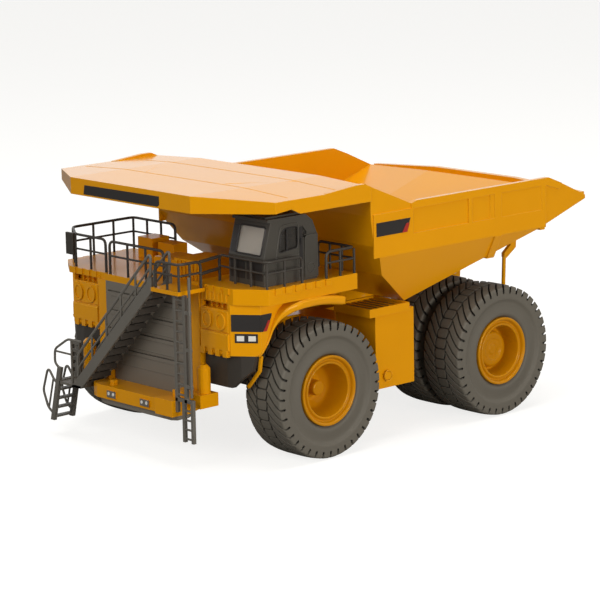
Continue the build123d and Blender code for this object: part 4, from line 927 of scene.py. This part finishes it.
left_fender = fender_parts(strip_top=41.9)
right_fender = [mirrored(part) for part in fender_parts(strip_top=TOP_Z)]
for label, parts in (("left", left_fender), ("right", right_fender)):
    fender = joined("dressed_fender_" + label, parts, "chassis", ENAMEL)
    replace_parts(fender, "fender_" + label)

# %% [markdown]
# ## Signs
#
# The signs are blank plates, a tenth of a millimetre thick: one wraps the left fender's corner,
# one sits high on the bed's side and a long strip crosses the canopy's front edge. The red
# corners and the white lamp windows are plates laid on top.

# %% Signs
SHEET = 0.12
SIGN_LOW, SIGN_HIGH, BED_X, CANOPY_Y = 32.2, 36.1, 39.0, -27.0
BUMPER_Y, BUMPER_LAMPS_X = -29.5, (-5.8, 6.5)


def rectangle(low, high, bottom, top):
    """Corners (across, up) of a rectangle, once round."""
    return (low, bottom), (high, bottom), (high, top), (low, top)


def on_corner(t, z, out=0.0):
    """A point on the slanted corner: t runs from 0 at the front to 1 at the side."""
    return np.array([NOSE_X + (SIDE_X - NOSE_X) * t, NOSE_Y + (BEND_Y - NOSE_Y) * t, z]) - CORNER_IN * out


def corner_plate(t0, t1, z0, z1, out=0.0):
    return plate([on_corner(t, z, out) for t, z in rectangle(t0, t1, z0, z1)], -CORNER_IN * SHEET)


def side_plate(x, corners, out=0.0):
    return plate([(x + out, y, z) for y, z in corners], (SHEET, 0, 0))


canopy_strip = ((-16.8, 59.4), (-16.4, 61.6), (10.9, 61.8), (10.9, 59.8), (10.3, 59.4))
bed_signs = [
    plate([(x, CANOPY_Y, z) for x, z in canopy_strip], (0, -SHEET, 0)),
    side_plate(BED_X, ((14.4, 50.2), (24.2, 50.2), (25.4, 53.4), (14.4, 53.4))),
]
chassis_signs = [
    corner_plate(0.03, 1.0, SIGN_LOW, SIGN_HIGH),
    side_plate(SIDE_X, ((BEND_Y, SIGN_LOW), (-15.9, SIGN_LOW), (-14.4, 35.6), (-14.4, SIGN_HIGH),
                        (BEND_Y, SIGN_HIGH))),
    corner_plate(0.145, 0.895, 29.6, 31.7),
]
red_on_chassis = side_plate(SIDE_X, ((-17.0, SIGN_LOW), (-16.0, SIGN_LOW), (-14.9, 34.6), (-15.6, 34.6)), SHEET)
red_on_bed = side_plate(BED_X, ((22.6, 50.2), (24.2, 50.2), (25.0, 52.3), (24.0, 52.3)), SHEET)
lamp_plates = [brick((x - 1.6, x + 1.6), (BUMPER_Y, BUMPER_Y - SHEET), (12.5, 14.1)) for x in BUMPER_LAMPS_X]
windows = [corner_plate(t, t + 0.24, 30.05, 31.25, SHEET) for t in (0.21, 0.59)]
windows += [disc(x + dx, BUMPER_Y - SHEET - 0.1, 13.4, 0.38, 0.42, 0.1, 16)
            for x in BUMPER_LAMPS_X for dx in (-0.85, 0.85)]
joined("blank_signs_bed", bed_signs, "bed", SIGN_BLACK, False)
joined("blank_signs_chassis", chassis_signs, "chassis", SIGN_BLACK, False)
joined("bumper_lamp_plates", lamp_plates, "chassis", STAIR_GREY, False)
joined("sign_red_chassis", [red_on_chassis], "chassis", SIGN_RED, False)
joined("sign_red_bed", [red_on_bed], "bed", SIGN_RED, False)
joined("lamp_windows", windows, "chassis", LAMP_WHITE, False)

# %% [markdown]
# ## Cab
#
# The cab's shell is a solid. Its doors are outlined by a rounded bead, the windows by dark
# rubber, and the dark post between door and rear box is a strip with a handle on it. The same
# list serves both doors: the second is the first, reflected in the cab's middle plane. The
# panes stand for the solid's: a pale one in front, and smoky ones at the sides.

# %% Cab details
CAB_LEFT, CAB_RIGHT, CAB_NOSE = 34.0, 22.0, -16.0
CAB_FLOOR, CAB_SILL, CAB_ROOF = 42.1, 49.0, 57.3
CAB_MIDDLE = (CAB_LEFT + CAB_RIGHT) / 2
DOOR_PANE = ((-11.4, 49.4), (-5.7, 50.0), (-5.7, 54.8), (-9.6, 54.8), (-10.8, 53.6))
BACK_PANE = ((-4.2, 54.9), (-4.2, 52.0), (-2.8, 52.0), (-2.8, 53.2))
CAB_GREY = finish_material("cab_grey", (0.068, 0.062, 0.051), (0.055, 0.050, 0.041), (0.17, 0.16, 0.135),
                           0.38, corner=0.2, highlight_share=0.5, grain=0.15)
nodes["cab_shell"].data.materials[0] = CAB_GREY


def screen(corners, out=0.0):
    """Points (x, z) on the leaning front: below the sill it is upright, above it leans back."""
    points = []
    for x, z in corners:
        lean = max(0.0, (z - CAB_SILL + 0.4) / (CAB_ROOF - CAB_SILL + 0.4)) * 2.4
        points.append((x, CAB_NOSE + lean - out, z))
    return points


def frame_ring(corners, radius=0.16):
    """Closed bead round a window: the path starts and ends in the middle of its first side."""
    corners = [np.asarray(c, float) for c in corners]
    start = (corners[0] + corners[1]) / 2
    return bar([start, *corners[1:], corners[0], start], radius, 0.6, 6)


def side_ring(x, y, z, size, count, radius, bend):
    """Round bead on a side wall, of count points in all."""
    turn = np.linspace(0, 2 * pi, count)
    return bar(np.column_stack([np.full(count, x), y + size * np.cos(turn), z + size * np.sin(turn)]),
               radius, bend, 6)


def on_door(*yz, out=0.02):
    return [(CAB_LEFT + out, y, z) for y, z in yz]


door_outline = ((-12.6, CAB_FLOOR + 0.5), (-12.4, 48.6), (-10.9, 55.5), (-5.4, 55.7), (-5.4, CAB_FLOOR + 0.5))
beads = [bar(on_door(*door_outline), 0.17, 1.2, 6), bar(on_door((-12.4, 48.3), (-5.4, 48.3)), 0.12, 1, 6),
         bar(on_door((-3.8, 52.6), (0.2, 52.6)), 0.12, 1, 6),
         side_ring(CAB_LEFT + 0.42, -2.0, 44.9, 1.1, 25, 0.1, 0.1)]
rubbers = [frame_ring(on_door(*DOOR_PANE)), side_plate(CAB_LEFT, rectangle(-5.2, -4.2, 43.0, 54.6)),
           bar(on_door((-9.0, 49.7), (-9.0, 54.7)), 0.2, 1, 6),
           bar(on_door((-5.0, 50.6), (-5.0, 52.2), out=0.5), 0.18, 1, 6)]
for group in (beads, rubbers):
    group += [mirrored((points - (2 * CAB_MIDDLE, 0, 0), faces)) for points, faces in group]
rubbers.append(frame_ring(screen(rectangle(24.2, 32.8, 49.1, 55.4), 0.03), 0.22))
rubbers.append(plate(screen(rectangle(22.5, 24.1, 49.2, 55.3), 0.02), (0, -SHEET, 0)))
rubbers += [plate(screen(rectangle(x0, x1, 43.4, 47.6)), (0, -SHEET, 0))
            for x0, x1 in ((22.7, 27.4), (28.2, 33.4))]
windscreen = [plate(screen(rectangle(24.2, 32.8, 49.0, 55.5), -0.3), (0, 0.4, 0))]
side_panes = [plate([(x, y, z) for y, z in outline], (-0.4, 0, 0))
              for x in (CAB_LEFT - 0.3, CAB_RIGHT + 0.7) for outline in (DOOR_PANE, BACK_PANE)]
screen_pane = joined("pale_windscreen", windscreen, "chassis", PALE_PANE, False)
door_panes = joined("smoky_door_panes", side_panes, "chassis", SMOKY_PANE, False)
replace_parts(screen_pane, "cab_windows")
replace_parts(door_panes, "cab_windows")
joined("cab_beads", beads, "chassis", CAB_GREY)
joined("cab_rubbers", rubbers, "chassis", SIGN_BLACK)

# %% [markdown]
# ## Rock ejectors
#
# Each hangs between two twin tyres from the bed's sloping floor: a flat bracket with a round
# arm, so it is placed from the hinge, which lies a fixed way behind the rear axle.

# %% Rock ejectors
HINGE_BACK = 12.4
FLOOR_AT_HINGE, FLOOR_SLOPE = 44.92, radians(17.9)
PIVOT_Y = (rear_axle[1] - front_axle[1]) / MM + HINGE_BACK
EJECTOR_X = (abs(middle("tyre_rear_left_outer")[0]) + abs(middle("tyre_rear_left_inner")[0])) / 2 / MM


def floor_under(dy):
    """Height of the bed floor's underside, dy behind the hinge: a straight slope."""
    return FLOOR_AT_HINGE + dy * tan(FLOOR_SLOPE)


bracket = ((4.4, floor_under(4.4)), (3.8, 38.6), (1.6, 36.9), (1.6, 35.9), (2.4, 35.6), (5.8, 37.9),
           (6.4, floor_under(6.4)))
ejectors = []
for x in (EJECTOR_X, -EJECTOR_X):
    ejectors.append(plate([(x - 0.5, PIVOT_Y + dy, z) for dy, z in bracket], (1.0, 0, 0)))
    ejectors.append(bar([(x, PIVOT_Y + 2.0, 36.4), (x, PIVOT_Y + 1.7, 28.8)], 0.5, 1, 12))
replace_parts(joined("slim_rock_ejectors", ejectors, "bed", ENAMEL), "rock_ejectors")

# %% [markdown]
# ## Seams and fine lines
#
# Weld seams on the canopy, thin lines on the grille's panels, the ring on the tank and the ribs
# of the deck's edge are all beads a fraction of a millimetre high. The trays on the tanks get
# dark strips of painted shade, which fill the gaps between their slats almost to the top and stand in for the
# bed's shadow on them.

# %% Seams
CANOPY_TOP, CANOPY_FLAT, CANOPY_EDGE, CANOPY_DROOP = 63.0, 21.8, 39.0, 0.9


def canopy_top(x):
    """Height of the canopy: flat in the middle, drooping evenly towards both sides."""
    return CANOPY_TOP - CANOPY_DROOP * max(0.0, abs(x) - CANOPY_FLAT) / (CANOPY_EDGE - CANOPY_FLAT)


def seam(*xy):
    return bar([(x, y, canopy_top(x) - 0.02) for x, y in xy], 0.09, 0.01, 6)


def cross_seam(y):
    return seam((-36.5, y), (-CANOPY_FLAT, y), (CANOPY_FLAT, y), (36.5, y))


canopy_seams = [cross_seam(-10.8), cross_seam(4.0), seam((14.3, -9.9), (23.6, 4.0)),
                seam((-14.3, -9.9), (-23.6, 4.0))]
TANK_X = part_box("tank_left")[1][0] / MM
tank_rings = [side_ring(side * TANK_X, 20.4, 16.0, 1.25, 33, 0.13, 0.05) for side in (1, -1)]
joined("tank_rings", tank_rings, "chassis", ENAMEL)

# painted shade: dark strips in the trays' gaps stand in for the shadow under the bed
SLAT_STARTS, SLAT, SEAT = 16.1 + 1.9 * np.arange(6), 0.6, 0.05  # SEAT keeps strip and slat apart
GAP_STARTS = np.r_[15.25, SLAT_STARTS + SLAT + SEAT]
GAP_ENDS = np.r_[SLAT_STARTS - SEAT, 26.95]
tray_shade_strips = [brick((side * 24.65, side * 35.55), gap, (31.25, 32.0))
               for side in (1, -1) for gap in zip(GAP_STARTS, GAP_ENDS)]
joined("tray_shade_strips", tray_shade_strips, "chassis", BLACK_PLASTIC, smooth=False)


def edge_ribs(top):
    """Upright beads under the deck's edge, on the left side."""
    return [bar([(x, NOSE_Y - 0.05, z) for z in (38.7, top)], 0.22, 1, 6) for x in 18.2 + 1.35 * np.arange(8)]


fascia = edge_ribs(41.4) + [mirrored(rib) for rib in edge_ribs(39.4)]
joined("fascia_ribs", fascia, "chassis", ENAMEL)
joined("canopy_seams", canopy_seams, "bed", ENAMEL)
GRILLE_X, GRILLE_Y, PANEL_STEP, LINE_RAISED = (-13.6, 13.6), -22.6, 4.5, 0.07
grille_lines = [brick(GRILLE_X, (GRILLE_Y - LINE_RAISED, GRILLE_Y), (z - half, z + half))
                for lowest, half in ((21.5, 0.09), (18.8, 0.06)) for z in lowest + PANEL_STEP * np.arange(4)]
joined("grille_lines", grille_lines, "chassis", GRILLE_GREY)

# %% [markdown]
# ## The floor
#
# A pale sheet that keeps the truck's soft shadow. Much of its brightness is shown to the
# camera only, which takes it to white where no shadow falls.

# %% Floor
FLOOR_TONE, FLOOR_LIFT = 0.33, 0.81
FLOOR_REACH, FLOOR_Z = 6.0, -0.00002


def floor_material():
    """White card: an ordinary surface for light, lifted towards white for the camera."""
    material = bpy.data.materials.new("floor_card")
    material.use_nodes = True
    tree = material.node_tree
    shader = tree.nodes["Principled BSDF"]
    set_inputs(shader, {"Base Color": (FLOOR_TONE, FLOOR_TONE * 0.99, FLOOR_TONE * 0.96, 1),
                        "Roughness": 0.9, "Specular IOR Level": 0.1,
                        "Emission Color": (1, 0.995, 0.98, 1)})
    path = tree.nodes.new("ShaderNodeLightPath")
    lift = math_node(tree, "MULTIPLY", path.outputs["Is Camera Ray"], FLOOR_LIFT)
    tree.links.new(lift, shader.inputs["Emission Strength"])
    return material


corners = [(x * FLOOR_REACH, y * FLOOR_REACH, FLOOR_Z) for x, y in ((-1, -1), (1, -1), (1, 1), (-1, 1))]
floor = mesh_object("floor", corners, [(0, 1, 2, 3)], smooth=False)
floor.data.materials.append(floor_material())
print("floor", FLOOR_REACH, "m each way")
